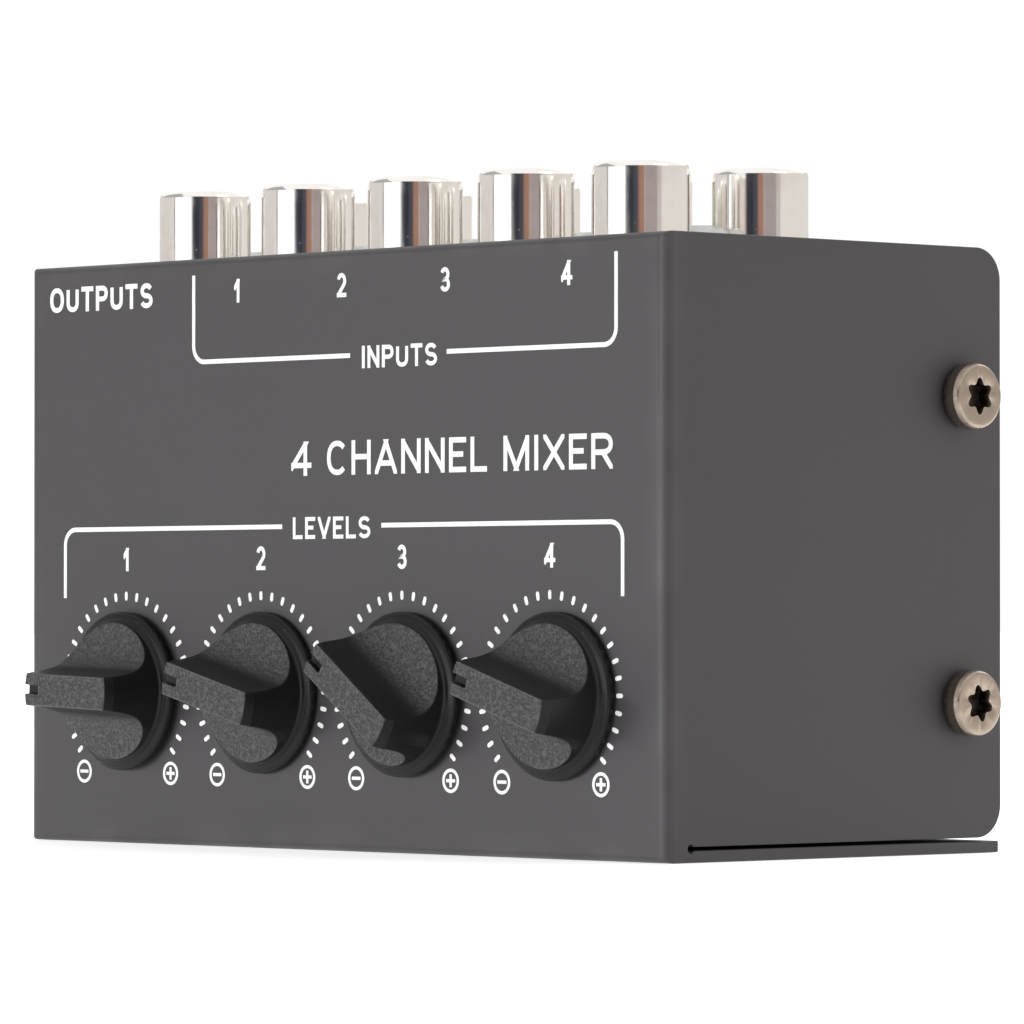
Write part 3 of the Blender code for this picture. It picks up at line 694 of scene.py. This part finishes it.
white_ink = ink()
for number, centre_x in zip(CHANNELS, SCALE_PLACES):
    centre_z = SCALE_HEIGHT
    bm = bmesh.new()
    for degrees in range(-TICK_END, TICK_END + 1, TICK_STEP):
        turn = Matrix.Rotation(math.radians(-degrees), 2)
        reach = TICK_CIRCLE - (TICK_LENGTH - TICK_WIDTH) / 2
        ends = arc((0, reach + TICK_LENGTH - TICK_WIDTH), TICK_WIDTH / 2, 0, 180, 6)
        ends += arc((0, reach), TICK_WIDTH / 2, 180, 360, 6)
        turned = [turn @ Vector(point) for point in ends]
        lift(bm, [(centre_x + p.x, centre_z + p.y) for p in turned])
    for sign, (sign_x, sign_z) in zip("-+", SIGN_PLACES):
        middle = (centre_x + sign_x, centre_z + sign_z)
        add_ribbon(bm, arc(middle, SIGN_RADIUS - SIGN_LINE / 2, 0, 360, 36), SIGN_LINE)
        half = SIGN_STROKE / 2
        add_ribbon(bm, [(middle[0] - half, middle[1]), (middle[0] + half, middle[1])], SIGN_LINE)
        if sign == "+":
            stroke = SIGN_LINE / 2
            for low_z, high_z in ((-half, -stroke), (stroke, half)):
                ends = [(middle[0], middle[1] + low_z), (middle[0], middle[1] + high_z)]
                add_ribbon(bm, ends, SIGN_LINE)
    add_digit(bm, number, centre_x, 0.02515)
    print_piece("print_scale_%d" % number, bm, white_ink)

bm = bmesh.new()
add_bracket(bm, -0.0358, 0.03596, 0.02175, 0.02785, (-0.0063, 0.0065))
add_letters(bm, "LEVELS", -0.0049, 0.0051, 0.02676, 0.02865, 0.00034)
print_piece("print_levels", bm, white_ink)

bm = bmesh.new()
add_bracket(bm, -0.0181, 0.0352, 0.0500, 0.04239, (0.0025, 0.0147))
add_letters(bm, "INPUTS", 0.0040, 0.0135, 0.04126, 0.04318, 0.00036)
for number, x in zip(CHANNELS, (-0.0123, 0.0014, 0.0145, 0.02935)):
    add_digit(bm, number, x, 0.04846)
print_piece("print_inputs", bm, white_ink)

bm = bmesh.new()
add_letters(bm, "OUTPUTS", -0.0380, -0.0237, 0.04736, 0.04958, 0.00044)
print_piece("print_outputs", bm, white_ink)

bm = bmesh.new()
add_letters(bm, "4 CHANNEL MIXER", -0.0051, 0.0348, 0.0322, 0.03515, 0.00046)
print_piece("print_title", bm, white_ink)

# ---- Cover screws ---------------------------------------------------------------------------------
# M3 pan-head screws of nickel-plated steel with a six-lobe drive. The heads are cold-formed, then the
# flat top is turned, and the plating has yellowed to a warm grey.

HEAD_RADIUS = 0.00285
HEAD_HEIGHT = 0.0017
SHANK_RADIUS = 0.0014
THREAD_PITCH = 0.0005
THREAD_DEPTH = 0.00015
DRIVE_TIP = 0.00158
DRIVE_VALLEY = 0.00108
DRIVE_DEPTH = 0.0013
DRIVE_TURNS = {"left_lower": 8, "left_upper": 41, "right_lower": 12, "right_upper": 0}


def plated_steel(name, tint, turned_size, roughness, recess=None):
    """Plated steel with turning marks round its own Z, stains, pits and painted shade in a recess of this
    reach.
    """
    made, place = new_material(name)
    x, y, z = place.parts()
    radius = (x * x + y * y) ** 0.5
    rings = place.node("ShaderNodeCombineXYZ", None, {0: radius, 1: radius * 0.5, 2: z})
    turned = rings.noise(turned_size, 3.0, 0.6)
    stain = place.noise(0.0011, 5.0, 0.6).ramp(0.36, 0.70)
    pits = place.noise(0.00011, 2.0).ramp(0.66, 0.74)
    dark = tuple(value * 0.62 for value in tint)
    shade = stain.blend(tint, tuple(value * 0.80 for value in tint))
    shade = (pits * 0.7).blend(shade, dark)
    if recess:
        # Painted shade: darker down inside the drive recess.
        recess_shade = z.ramp(HEAD_HEIGHT - 0.0001, HEAD_HEIGHT - 0.0007) * radius.ramp(recess * 1.2, recess * 1.1)
        shade = (recess_shade * 0.85).blend(shade, (0.030, 0.024, 0.020))
    gloss = roughness + 0.14 * stain + 0.10 * pits + 0.06 * turned
    height = turned * 0.6 - pits * 0.4
    coat(made, Base_Color=shade, Metallic=1.0, Roughness=gloss, Normal=height.bump(0.000006))
    return made


def merge_flats(bm):
    """Joins faces that lie in one plane, so that a cut through them leaves no slivers."""
    bmesh.ops.dissolve_limit(bm, angle_limit=math.radians(0.5), verts=bm.verts, edges=bm.edges)


def thread(length, radius, pitch, depth):
    """A profile up a threaded shank: ridges that look like a thread, from the tip to the head."""
    points = [(0, -length), (radius - depth, -length)]
    z = -length + pitch
    while z < -pitch:
        points += [(radius - depth, z), (radius, z + pitch / 2)]
        z += pitch
    return points + [(radius - depth, 0)]


warm_steel = plated_steel("screw_steel", (0.40, 0.33, 0.27), 0.00006, 0.22, DRIVE_TIP)
for side_name, side in SIDES:
    for level in LEVELS:
        label = "%s_%s" % (side_name, level)
        low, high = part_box("cover_screw_" + label)
        seat = max(abs(low.x), abs(high.x)) - HEAD_HEIGHT
        length = max(abs(low.x), abs(high.x)) - HEAD_HEIGHT - min(abs(low.x), abs(high.x))
        head = [
            (HEAD_RADIUS * 0.95, 0),
            (HEAD_RADIUS, HEAD_HEIGHT * 0.30),
            (HEAD_RADIUS, HEAD_HEIGHT * 0.72),
            (HEAD_RADIUS * 0.925, HEAD_HEIGHT),
            (0, HEAD_HEIGHT),
        ]
        profile = thread(length, SHANK_RADIUS, THREAD_PITCH, THREAD_DEPTH) + rounded(head, 0.0003, 5)
        bm = bmesh.new()
        add_turned(bm, profile, 64)
        merge_flats(bm)
        place = screw_place("cover_screw_" + label, side, seat)
        screw = new_piece("side_screw_" + label, bm, warm_steel, place)
        bm = bmesh.new()
        outline = []
        for step in range(72):
            angle = math.tau * step / 72
            lobe = abs(math.cos(3 * (angle - math.radians(DRIVE_TURNS[label])))) ** 2.2
            reach = DRIVE_VALLEY + (DRIVE_TIP - DRIVE_VALLEY) * lobe
            outline.append((reach * math.cos(angle), reach * math.sin(angle)))
        add_prism(bm, outline, HEAD_HEIGHT - DRIVE_DEPTH, HEAD_HEIGHT + PAST)
        carve(screw, bm)
        ease_edges(screw, 0.00003, 2, 50)
        hand_over(screw, "chassis", "screw_steel", "cover_screw_" + label)

# ---- Phono jacks ----------------------------------------------------------------------------------
# Each jack is a drawn brass barrel, plated bright nickel, with its rim rolled over a moulded plastic
# insert. A tinned contact tube lines the pin hole. The front row is red and the rear row white.

BARREL_RADIUS = 0.00415
BARREL_WALL = 0.0005
BARREL_LIP = 0.0009
BARREL_ROUND = 0.00065
INSERT_GAP = 0.0003
PIN_HOLE = 0.0017
PIN_DEPTH = 0.0080
CONTACT_WALL = 0.00012
CONTACT_DROP = 0.0005


def bright_nickel():
    """Mirror plating with a faint warm cast, drawing lines up the barrel, haze and a few specks."""
    made, place = new_material("bright_nickel")
    lines = place.stretch(1.0, 1.0, 0.03).noise(0.00022, 3.0)
    haze = place.noise(0.0024, 4.0).ramp(0.40, 0.75)
    specks = place.cells(0.00075).ramp(0.09, 0.05) * place.noise(0.0019, 1.0).ramp(0.56, 0.62)
    scuffs = place.stretch(1.0, 1.0, 0.25).noise(0.0005, 3.0).ramp(0.68, 0.76)
    shade = haze.blend((0.93, 0.91, 0.88), (0.86, 0.83, 0.78))
    shade = (specks * 0.8).blend(shade, (0.35, 0.33, 0.31))
    gloss = 0.085 + 0.05 * haze + 0.25 * specks + 0.10 * scuffs
    height = lines * 0.7 - specks * 0.3
    coat(made, Base_Color=shade, Metallic=1.0, Roughness=gloss, Normal=height.bump(0.0000022))
    return made


def moulded(name, colour, light, size=0.00025):
    """Moulded plastic with a fine satin grain, slight flow marks and dust in its low spots."""
    made, place = new_material(name)
    grain = place.noise(size, 3.0)
    flow = place.stretch(1.0, 1.0, 0.4).noise(0.0035, 3.0)
    dust = place.noise(0.0012, 5.0, 0.65).ramp(0.62, 0.80)
    shade = flow.blend(colour, light)
    shade = (dust * 0.12).blend(shade, (0.55, 0.53, 0.50))
    coat(made, Base_Color=shade, Roughness=0.34 + 0.14 * grain + 0.2 * dust, Normal=grain.bump(0.000008))
    return made


nickel = bright_nickel()
plastics = {
    "front": moulded("insert_red", (0.52, 0.020, 0.016), (0.62, 0.032, 0.022)),
    "rear": moulded("insert_white", (0.76, 0.76, 0.73), (0.84, 0.84, 0.82)),
}
contact_tin = plated_steel("contact_tin", (0.72, 0.70, 0.66), 0.00008, 0.22)
for column in COLUMNS:
    for row in ROWS:
        label = "%s_%s" % (column, row)
        low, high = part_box("jack_barrel_" + label)
        place = Matrix.Translation(((low.x + high.x) / 2, (low.y + high.y) / 2, 0))
        inner = BARREL_RADIUS - BARREL_WALL
        outside = [
            (inner, low.z),
            (BARREL_RADIUS, low.z),
            (BARREL_RADIUS, high.z),
            (BARREL_RADIUS - BARREL_LIP, high.z),
        ]
        profile = rounded(outside, BARREL_ROUND, 12, 0.75)[:-1]
        rim = [
            outside[3],
            (BARREL_RADIUS - BARREL_LIP, high.z - BARREL_WALL),
            (inner, high.z - BARREL_WALL),
        ]
        bm = bmesh.new()
        add_turned(bm, profile + rim, 144)
        barrel = new_piece("nickel_barrel_" + label, bm, nickel, place)
        ease_edges(barrel, 0.00006, 3, 50)
        hand_over(barrel, "chassis", "bright_nickel", "jack_barrel_" + label)

        low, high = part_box("jack_insert_" + label)
        radius = inner - INSERT_GAP
        profile = [
            (0, low.z),
            (radius, low.z),
            (radius, high.z),
            (PIN_HOLE + 0.0009, high.z),
            (PIN_HOLE + 0.0007, high.z - 0.0003),
            (PIN_HOLE + 0.0004, high.z - 0.0003),
            (PIN_HOLE, high.z - 0.0006),
            (PIN_HOLE, high.z - PIN_DEPTH),
            (0, high.z - PIN_DEPTH),
        ]
        bm = bmesh.new()
        add_turned(bm, profile, 72)
        insert = new_piece("plastic_insert_" + label, bm, plastics[row], place)
        ease_edges(insert, 0.00006, 2, 30)
        slot = "insert_red" if row == "front" else "insert_white"
        hand_over(insert, "chassis", slot, "jack_insert_" + label)

        contact_top = high.z - CONTACT_DROP - 0.0004
        contact = [
            (PIN_HOLE - 0.00002, high.z - PIN_DEPTH + 0.0002),
            (PIN_HOLE - 0.00002, contact_top),
            (PIN_HOLE - CONTACT_WALL, contact_top),
            (PIN_HOLE - CONTACT_WALL, high.z - PIN_DEPTH + 0.0002),
        ]
        bm = bmesh.new()
        add_turned(bm, contact, 48)
        tube = new_piece("contact_tube_" + label, bm, contact_tin, place)
        ease_edges(tube, 0.00003, 2, 50)
        hand_over(tube, "chassis", "screw_steel")

# ---- Jack screws ----------------------------------------------------------------------------------
# Short cross-recess screws between the rows pull the moulded jack housings up against the top flange.

JACK_HEAD_RADIUS = 0.0025
JACK_HEAD = 0.0013
JACK_SHANK = 0.0013
CROSS_REACH = 0.0013
CROSS_WIDTH = 0.00055
CROSS_DEPTH = 0.0008

cool_steel = plated_steel("zinc_steel", (0.60, 0.60, 0.58), 0.00007, 0.28)
for index, column in enumerate(COLUMNS):
    low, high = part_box("jack_screw_" + column)
    seat = high.z - JACK_HEAD
    middle = Matrix.Translation(((low.x + high.x) / 2, (low.y + high.y) / 2, seat))
    place = middle @ Matrix.Rotation(math.radians(17 + 37 * index), 4, "Z")
    head = [
        (JACK_HEAD_RADIUS * 0.96, 0),
        (JACK_HEAD_RADIUS, JACK_HEAD * 0.15),
        (JACK_HEAD_RADIUS * 0.93, JACK_HEAD * 0.58),
        (JACK_HEAD_RADIUS * 0.66, JACK_HEAD * 0.93),
        (JACK_HEAD_RADIUS * 0.30, JACK_HEAD),
        (0, JACK_HEAD),
    ]
    profile = thread(seat - low.z, JACK_SHANK, 0.0006, 0.00016) + rounded(head, 0.0012, 5)
    bm = bmesh.new()
    add_turned(bm, profile, 56)
    merge_flats(bm)
    screw = new_piece("top_screw_" + column, bm, cool_steel, place)
    bm = bmesh.new()
    half = CROSS_WIDTH / 2
    cross = []
    for quarter in range(4):
        turn = Matrix.Rotation(math.radians(90 * quarter), 2)
        for point in ((half, half), (half, CROSS_REACH), (-half, CROSS_REACH)):
            cross.append(tuple(turn @ Vector(point)))
    add_prism(bm, cross, JACK_HEAD - CROSS_DEPTH, JACK_HEAD + PAST)
    carve(screw, bm)
    ease_edges(screw, 0.00005, 2, 50)
    hand_over(screw, "chassis", "screw_steel", "jack_screw_" + column)

# ---- Level knobs ----------------------------------------------------------------------------------
# Black moulded knobs, pushed on to the potentiometers' D-shafts. Two scoops leave a pointer bar, whose
# tip has a small notch. The bar and scoops are spark-eroded to a leather-like grain; the rest is glossy.

KNOB_RADIUS = 0.0070
KNOB_HEIGHT = 0.00675
SKIRT_SIDE = 0.00040
LEDGE = ((0.00686, 0.00056), (0.00660, 0.00066), (0.00638, 0.00070), (0.00628, 0.00092))
CROWN_FOOT = (0.00606, 0.00100)
CROWN_SHOULDER = (0.00575, 0.00580)
CROWN_TOP = 0.0055
# Where one scoop's surface lies: how far from the knob's middle, how high above its underside
SCOOP_SURFACE = (
    (0.00142, 0.00675),
    (0.00170, 0.00440),
    (0.00202, 0.00322),
    (0.00254, 0.00240),
    (0.00330, 0.00185),
    (0.00420, 0.00152),
    (0.00520, 0.00130),
    (0.00620, 0.00116),
)
NOTCH_WIDTH = 0.0008
NOTCH_LENGTH = 0.0018
NOTCH_DEPTH = 0.0006
STEM_RADIUS = 0.0042
STEM_LENGTH = 0.0053
LOWER_STOP = -140
VOXEL = 0.00007


def softened(points, rounds):
    """The line with its corners cut off again and again, which leaves a smooth curve."""
    for _ in range(rounds):
        result = [points[0]]
        for (x, y), (next_x, next_y) in zip(points, points[1:]):
            result.append((0.75 * x + 0.25 * next_x, 0.75 * y + 0.25 * next_y))
            result.append((0.25 * x + 0.75 * next_x, 0.25 * y + 0.75 * next_y))
        points = result + [points[-1]]
    return points


def knob_plastic():
    made, place = new_material("knob_black")
    grain_and_wall_shade = place.node("ShaderNodeAttribute", {"attribute_name": "grain"}, None, 2)
    pebbles = place.cells(0.00021, "SMOOTH_F1")
    fine = place.noise(0.00009, 2.0)
    leather = (pebbles * 0.7 + fine * 0.5) * grain_and_wall_shade
    scuffs = place.stretch(1.0, 0.2, 1.0).noise(0.0006, 4.0, 0.65).ramp(0.66, 0.78)
    dust = place.cells(0.0011).ramp(0.060, 0.035) * place.noise(0.004, 2.0).ramp(0.52, 0.62)
    speckle = (0.6 * pebbles + 0.6 * fine).ramp(0.38, 0.78)
    # Grain lightens the black; the scoops' steep walls get little of it, which is painted shade there.
    shade = (grain_and_wall_shade * (0.28 + 0.72 * speckle)).blend((0.0130, 0.0130, 0.0136), (0.104, 0.102, 0.105))
    # Painted highlight: a lighter line along the bar's top edges.
    edge_highlight = place.node("ShaderNodeAttribute", {"attribute_name": "edge"}, None, 2)
    shade = (edge_highlight * (0.3 + 0.7 * fine)).blend(shade, (0.16, 0.16, 0.165))
    shade = (dust * 0.55 + scuffs * 0.04).blend(shade, (0.30, 0.30, 0.30))
    gloss = 0.24 + 0.34 * grain_and_wall_shade + 0.10 * scuffs + 0.08 * fine
    height = leather + (1 - grain_and_wall_shade) * fine * 0.08
    coat(made, Base_Color=shade, Roughness=gloss, Normal=height.bump(0.00008), Specular_IOR_Level=0.17)
    return made


def near(distance, width):
    """1 at no distance, falling smoothly to 0 at the width."""
    t = np.clip(distance / width, 0, 1)
    return 1 - t * t * (3 - 2 * t)


def mark_grain(knob, surface):
    """Marks where the mould has its grain, on the bar's top and the scoops' floors, with less on the
    scoops' steep walls, painted shade there as well as a smoother finish, and a painted highlight along the
    bar's top edges.
    """
    points = np.empty(3 * len(knob.data.vertices))
    knob.data.vertices.foreach_get("co", points)
    side, _, up = points.reshape(-1, 3).T
    side = np.abs(side)
    out, height = np.array(surface).T
    above = np.abs(up - np.interp(side, out, height))
    above[(side < out[0] - GRAIN_FADE) | (side > out[-1] + GRAIN_FADE)] = 1.0
    beside = np.abs(side - np.interp(-up, -height, out))
    beside[up < height[-1] + GRAIN_FADE] = 1.0
    from_scoop = np.minimum(above, beside)
    from_top = np.abs(up - KNOB_HEIGHT)
    # The steep scoop walls, from WALL_FOOT up, lose most of their grain: painted shade, and a smoother
    # finish.
    wall = (1 - near(from_top, 2 * GRAIN_FADE)) * near(np.maximum(WALL_TOP - up, 0), WALL_TOP - WALL_FOOT)
    # Painted highlight along the bar's top edges, where the scoops meet the top.
    edge = near(np.hypot(side - out[0], from_top), EDGE_FADE)
    for name, values in (
        ("grain", near(np.minimum(from_scoop, from_top), GRAIN_FADE) * (1 - WALL_SHADE_AND_POLISH * wall)),
        ("edge", edge),
    ):
        marks = knob.data.attributes.new(name, "FLOAT", "POINT")
        marks.data.foreach_set("value", values)


INSET = 0.000002
KNOB_SEGMENTS = 160
SOFTEN_SHARE = 0.5
SOFTEN_ROUNDS = 3
GRAIN_FADE = 0.00016
EDGE_FADE = 0.00013
# Between these heights the scoops' steep walls lose grain and come out darker: painted shade, and a
# smoother finish.
WALL_TOP = 0.0036
WALL_FOOT = 0.0019
WALL_SHADE_AND_POLISH = 0.85
black_plastic = knob_plastic()
scoop_line = softened(list(SCOOP_SURFACE), 2)
for number, joint in zip(CHANNELS, frame["joints"]):
    node = "knob_%d" % number
    low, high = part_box(node)
    rest = LOWER_STOP - joint["range_deg"][0]
    axis_x, _, axis_z = joint["pos_m"]
    seat = Matrix.Translation((axis_x, low.y + INSET + KNOB_HEIGHT, axis_z))
    place = seat @ outward @ Matrix.Rotation(math.radians(-rest), 4, "Z")
    profile = [(0, -STEM_LENGTH), (STEM_RADIUS, -STEM_LENGTH), (STEM_RADIUS, 0), (KNOB_RADIUS, 0)]
    profile += [(KNOB_RADIUS, SKIRT_SIDE), *LEDGE, CROWN_FOOT, CROWN_SHOULDER]
    profile += [(CROWN_TOP, KNOB_HEIGHT), (0, KNOB_HEIGHT)]
    bm = bmesh.new()
    add_turned(bm, profile, KNOB_SEGMENTS)
    knob = new_piece("pointer_knob_%d" % number, bm, black_plastic, place)
    bm = bmesh.new()
    past = KNOB_RADIUS + PAST
    above = KNOB_HEIGHT + PAST
    for side in (-1, 1):
        outline = scoop_line + [(past, scoop_line[-1][1]), (past, above), (scoop_line[0][0], above)]
        endways = Matrix(((1, 0, 0, 0), (0, 0, -1, 0), (0, 1, 0, 0), (0, 0, 0, 1)))
        add_prism(bm, [(side * x, z) for x, z in outline], -past, past, endways)
    carve(knob, bm)
    bm = bmesh.new()
    notch = (-NOTCH_WIDTH / 2, CROWN_TOP - NOTCH_LENGTH, KNOB_HEIGHT - NOTCH_DEPTH)
    add_box(bm, notch, (NOTCH_WIDTH / 2, KNOB_RADIUS, KNOB_HEIGHT + PAST))
    carve(knob, bm)
    remesh = knob.modifiers.new("remesh", "REMESH")
    remesh.mode = "VOXEL"
    remesh.voxel_size = VOXEL
    remesh.use_smooth_shade = True
    soften = knob.modifiers.new("soften", "SMOOTH")
    soften.factor = SOFTEN_SHARE
    soften.iterations = SOFTEN_ROUNDS
    settle(knob)
    mark_grain(knob, scoop_line)
    knob.data.materials.clear()
    knob.data.materials.append(black_plastic)
    hand_over(knob, "level_%d" % number, "knob_black", node)

# ---- Parts inside the box -------------------------------------------------------------------------
# The potentiometers, jack housings, circuit boards, header and resistors are all closed in. Their CAD
# shapes are kept, each with the surface it has: die-cast zinc, moulded plastic, solder resist, lacquer.

TRACKS = 420
WEAVE = 2600
BANDS = 900


def solder_resist():
    """Green resist over copper: raised tracks, tinned pads and the laminate's weave showing through."""
    made, place = new_material("board_green")
    x, _, z = place.parts()
    across = x * TRACKS
    line = abs(across.sum("FRACT", across) - 0.5).ramp(0.22, 0.18)
    warp = x * WEAVE
    weft = z * WEAVE
    weave = abs(warp.sum("SINE", warp) * weft.sum("SINE", weft))
    cloud = place.noise(0.006, 3.0)
    shade = (line * 0.8 + cloud * 0.2).blend((0.010, 0.075, 0.030), (0.020, 0.150, 0.060))
    height = line * 0.8 + weave * 0.2
    coat(made, Base_Color=shade, Roughness=0.28 + 0.15 * weave, Normal=height.bump(0.00003))
    return made


def lacquer():
    """Tan lacquer with four painted bands round the resistor's waist."""
    made, place = new_material("resistor_tan")
    x, _, _ = place.parts()
    along = x * BANDS
    bands = abs(along.sum("SINE", along)).ramp(0.86, 0.92)
    mottle = place.noise(0.0009, 3.0)
    shade = mottle.blend((0.52, 0.37, 0.19), (0.60, 0.45, 0.26))
    shade = (bands * 0.9).blend(shade, (0.16, 0.05, 0.02))
    coat(made, Base_Color=shade, Roughness=0.25 + 0.2 * mottle, Normal=mottle.bump(0.00001))
    return made


def recoat(node, material):
    slots = frame["nodes"][node].material_slots
    if not slots:
        frame["nodes"][node].data.materials.append(material)
    for held in slots:
        held.material = material


housing_black = moulded("housing_black", (0.012, 0.012, 0.012), (0.020, 0.020, 0.021))
case_zinc = plated_steel("pot_case_grey", (0.40, 0.40, 0.40), 0.0003, 0.42)
resist = solder_resist()
lacquer_tan = lacquer()
for number in CHANNELS:
    recoat("pot_case_%d" % number, case_zinc)
    recoat("pot_shaft_%d" % number, cool_steel)
    for side_name, _ in SIDES:
        recoat("resistor_%d_%s" % (number, side_name), lacquer_tan)
for column in COLUMNS:
    recoat("jack_housing_" + column, housing_black)
for board in ("jack_board", "control_board"):
    recoat(board, resist)
recoat("board_header", housing_black)

# ---- Floor, light and camera ----------------------------------------------------------------------
# The box stands on a pale floor in a white room. Tall soft panels round it, seen only in reflections,
# give the bright barrels their bands of light and dark.

FLOOR_HALF = 6.0
FLOOR_DROP = 0.00005
FLOOR_GLOW = 0.72
FLAGS = {
    "flag_shading": (0.0, (-0.60, -0.60), (0.60, -0.03)),
    "flag_mirrored": (0.45, (-0.50, -0.50), (-0.06, -0.06)),
}
FLAG_HEIGHT = 0.14
CARD_RADIUS = 0.45
CARD_LOW = -0.05
CARD_HIGH = 0.20
CARDS = (
    (-150, -84, (0.72, 0.69, 0.67)),
    (-84, -80, (0.20, 0.19, 0.20)),
    (-80, -35, (0.97, 0.97, 0.98)),
    (-35, -32, (0.30, 0.30, 0.32)),
    (-32, -16, (0.030, 0.032, 0.045)),
    (-16, -7, (0.065, 0.065, 0.085)),
    (-7, -4, (0.17, 0.12, 0.11)),
    (-4, 7, (0.36, 0.20, 0.15)),
    (7, 11, (0.45, 0.36, 0.34)),
    (11, 36, (0.38, 0.33, 0.33)),
    (36, 46, (0.56, 0.51, 0.50)),
    (46, 150, (0.78, 0.74, 0.70)),
)
CAMERA_PLACE = Vector((0.42629, -0.39801, 0.01998))
CAMERA_AIM = Vector((-0.72974, 0.68354, 0.01592))
CAMERA_LENS = 233.67
CAMERA_SENSOR = 36.0
CAMERA_CLIP = (0.01, 50.0)
LIGHTS = (
    ("key", (-0.15, -0.90, 0.08), (0.8, 0.12), 5.0),
    ("fill", (0.85, 0.10, 0.45), (0.5, 0.5), 0.5),
    ("back", (-0.20, 0.80, 0.60), (0.6, 0.4), 1.6),
)
ROOM_GLOW = 1.05

made, place = new_material("floor_white")
grain = place.noise(0.02, 4.0)
coat(made, Base_Color=grain.blend((0.90, 0.90, 0.90), (0.93, 0.93, 0.93)), Roughness=0.7 + 0.1 * grain)
coat(made, Emission_Color=(1.0, 1.0, 1.0), Emission_Strength=FLOOR_GLOW)
bm = bmesh.new()
floor_z = cad_box[0].z - FLOOR_DROP
span = (-FLOOR_HALF, FLOOR_HALF)
corners = zip(span + span[::-1], (span[0],) * 2 + (span[1],) * 2)
bm.faces.new([bm.verts.new((x, y, floor_z)) for x, y in corners])
floor = new_piece("floor", bm, made)

for name, (glow, (left, near_y), (right, far_y)) in FLAGS.items():
    made = bpy.data.materials.new(name)
    made.use_nodes = True
    coat(made, Base_Color=(0.0, 0.0, 0.0), Roughness=1.0, Specular_IOR_Level=0.0)
    coat(made, Emission_Color=(glow, glow, glow), Emission_Strength=1.0)
    bm = bmesh.new()
    corners = ((left, near_y), (right, near_y), (right, far_y), (left, far_y))
    bm.faces.new([bm.verts.new((x, y, FLAG_HEIGHT)) for x, y in corners])
    flag = new_piece(name, bm, made)
    flag.visible_camera = False
    flag.visible_shadow = False
    flag.visible_transmission = False
    flag.visible_glossy = name == "flag_mirrored"
    flag.visible_diffuse = name == "flag_shading"

towards = Vector((-CAMERA_AIM.x, -CAMERA_AIM.y))
bearing = math.degrees(math.atan2(towards.y, towards.x))
for index, (start, end, colour) in enumerate(CARDS):
    made = bpy.data.materials.new("card_%d" % index)
    made.use_nodes = True
    coat(made, Base_Color=(0.0, 0.0, 0.0), Roughness=1.0, Emission_Color=colour, Emission_Strength=1.0)
    coat(made, Specular_IOR_Level=0.0)
    bm = bmesh.new()
    line = arc((0, 0), CARD_RADIUS, bearing + start, bearing + end, 12)
    rings = [[bm.verts.new((x, y, z)) for x, y in line] for z in (CARD_LOW, CARD_HIGH)]
    for here in range(len(line) - 1):
        bm.faces.new((rings[0][here], rings[0][here + 1], rings[1][here + 1], rings[1][here]))
    card = new_piece("card_%d" % index, bm, made)
    card.visible_camera = False
    card.visible_diffuse = False
    card.visible_shadow = False
    card.visible_transmission = False


def add_area(name, place, size, power):
    light = bpy.data.lights.new(name, "AREA")
    light.shape = "RECTANGLE"
    light.size, light.size_y = size
    light.energy = power
    made = bpy.data.objects.new(name, light)
    bpy.context.scene.collection.objects.link(made)
    aim = Vector((0, 0, top / 2)) - Vector(place)
    made.matrix_world = Matrix.Translation(place) @ aim.to_track_quat("-Z", "Y").to_matrix().to_4x4()
    return made


for name, place, size, power in LIGHTS:
    add_area(name, place, size, power)

world = bpy.data.worlds.new("studio")
world.use_nodes = True
background = world.node_tree.nodes["Background"]
background.inputs["Color"].default_value = (1.0, 1.0, 1.0, 1.0)
background.inputs["Strength"].default_value = ROOM_GLOW
bpy.context.scene.world = world
bpy.context.scene.view_settings.view_transform = "Standard"

lens = bpy.data.cameras.new("camera")
lens.sensor_width = CAMERA_SENSOR
lens.lens = CAMERA_LENS
lens.clip_start, lens.clip_end = CAMERA_CLIP
camera = bpy.data.objects.new("camera", lens)
bpy.context.scene.collection.objects.link(camera)
aim = CAMERA_AIM.to_track_quat("-Z", "Y").to_matrix().to_4x4()
camera.matrix_world = Matrix.Translation(CAMERA_PLACE) @ aim
bpy.context.scene.camera = camera
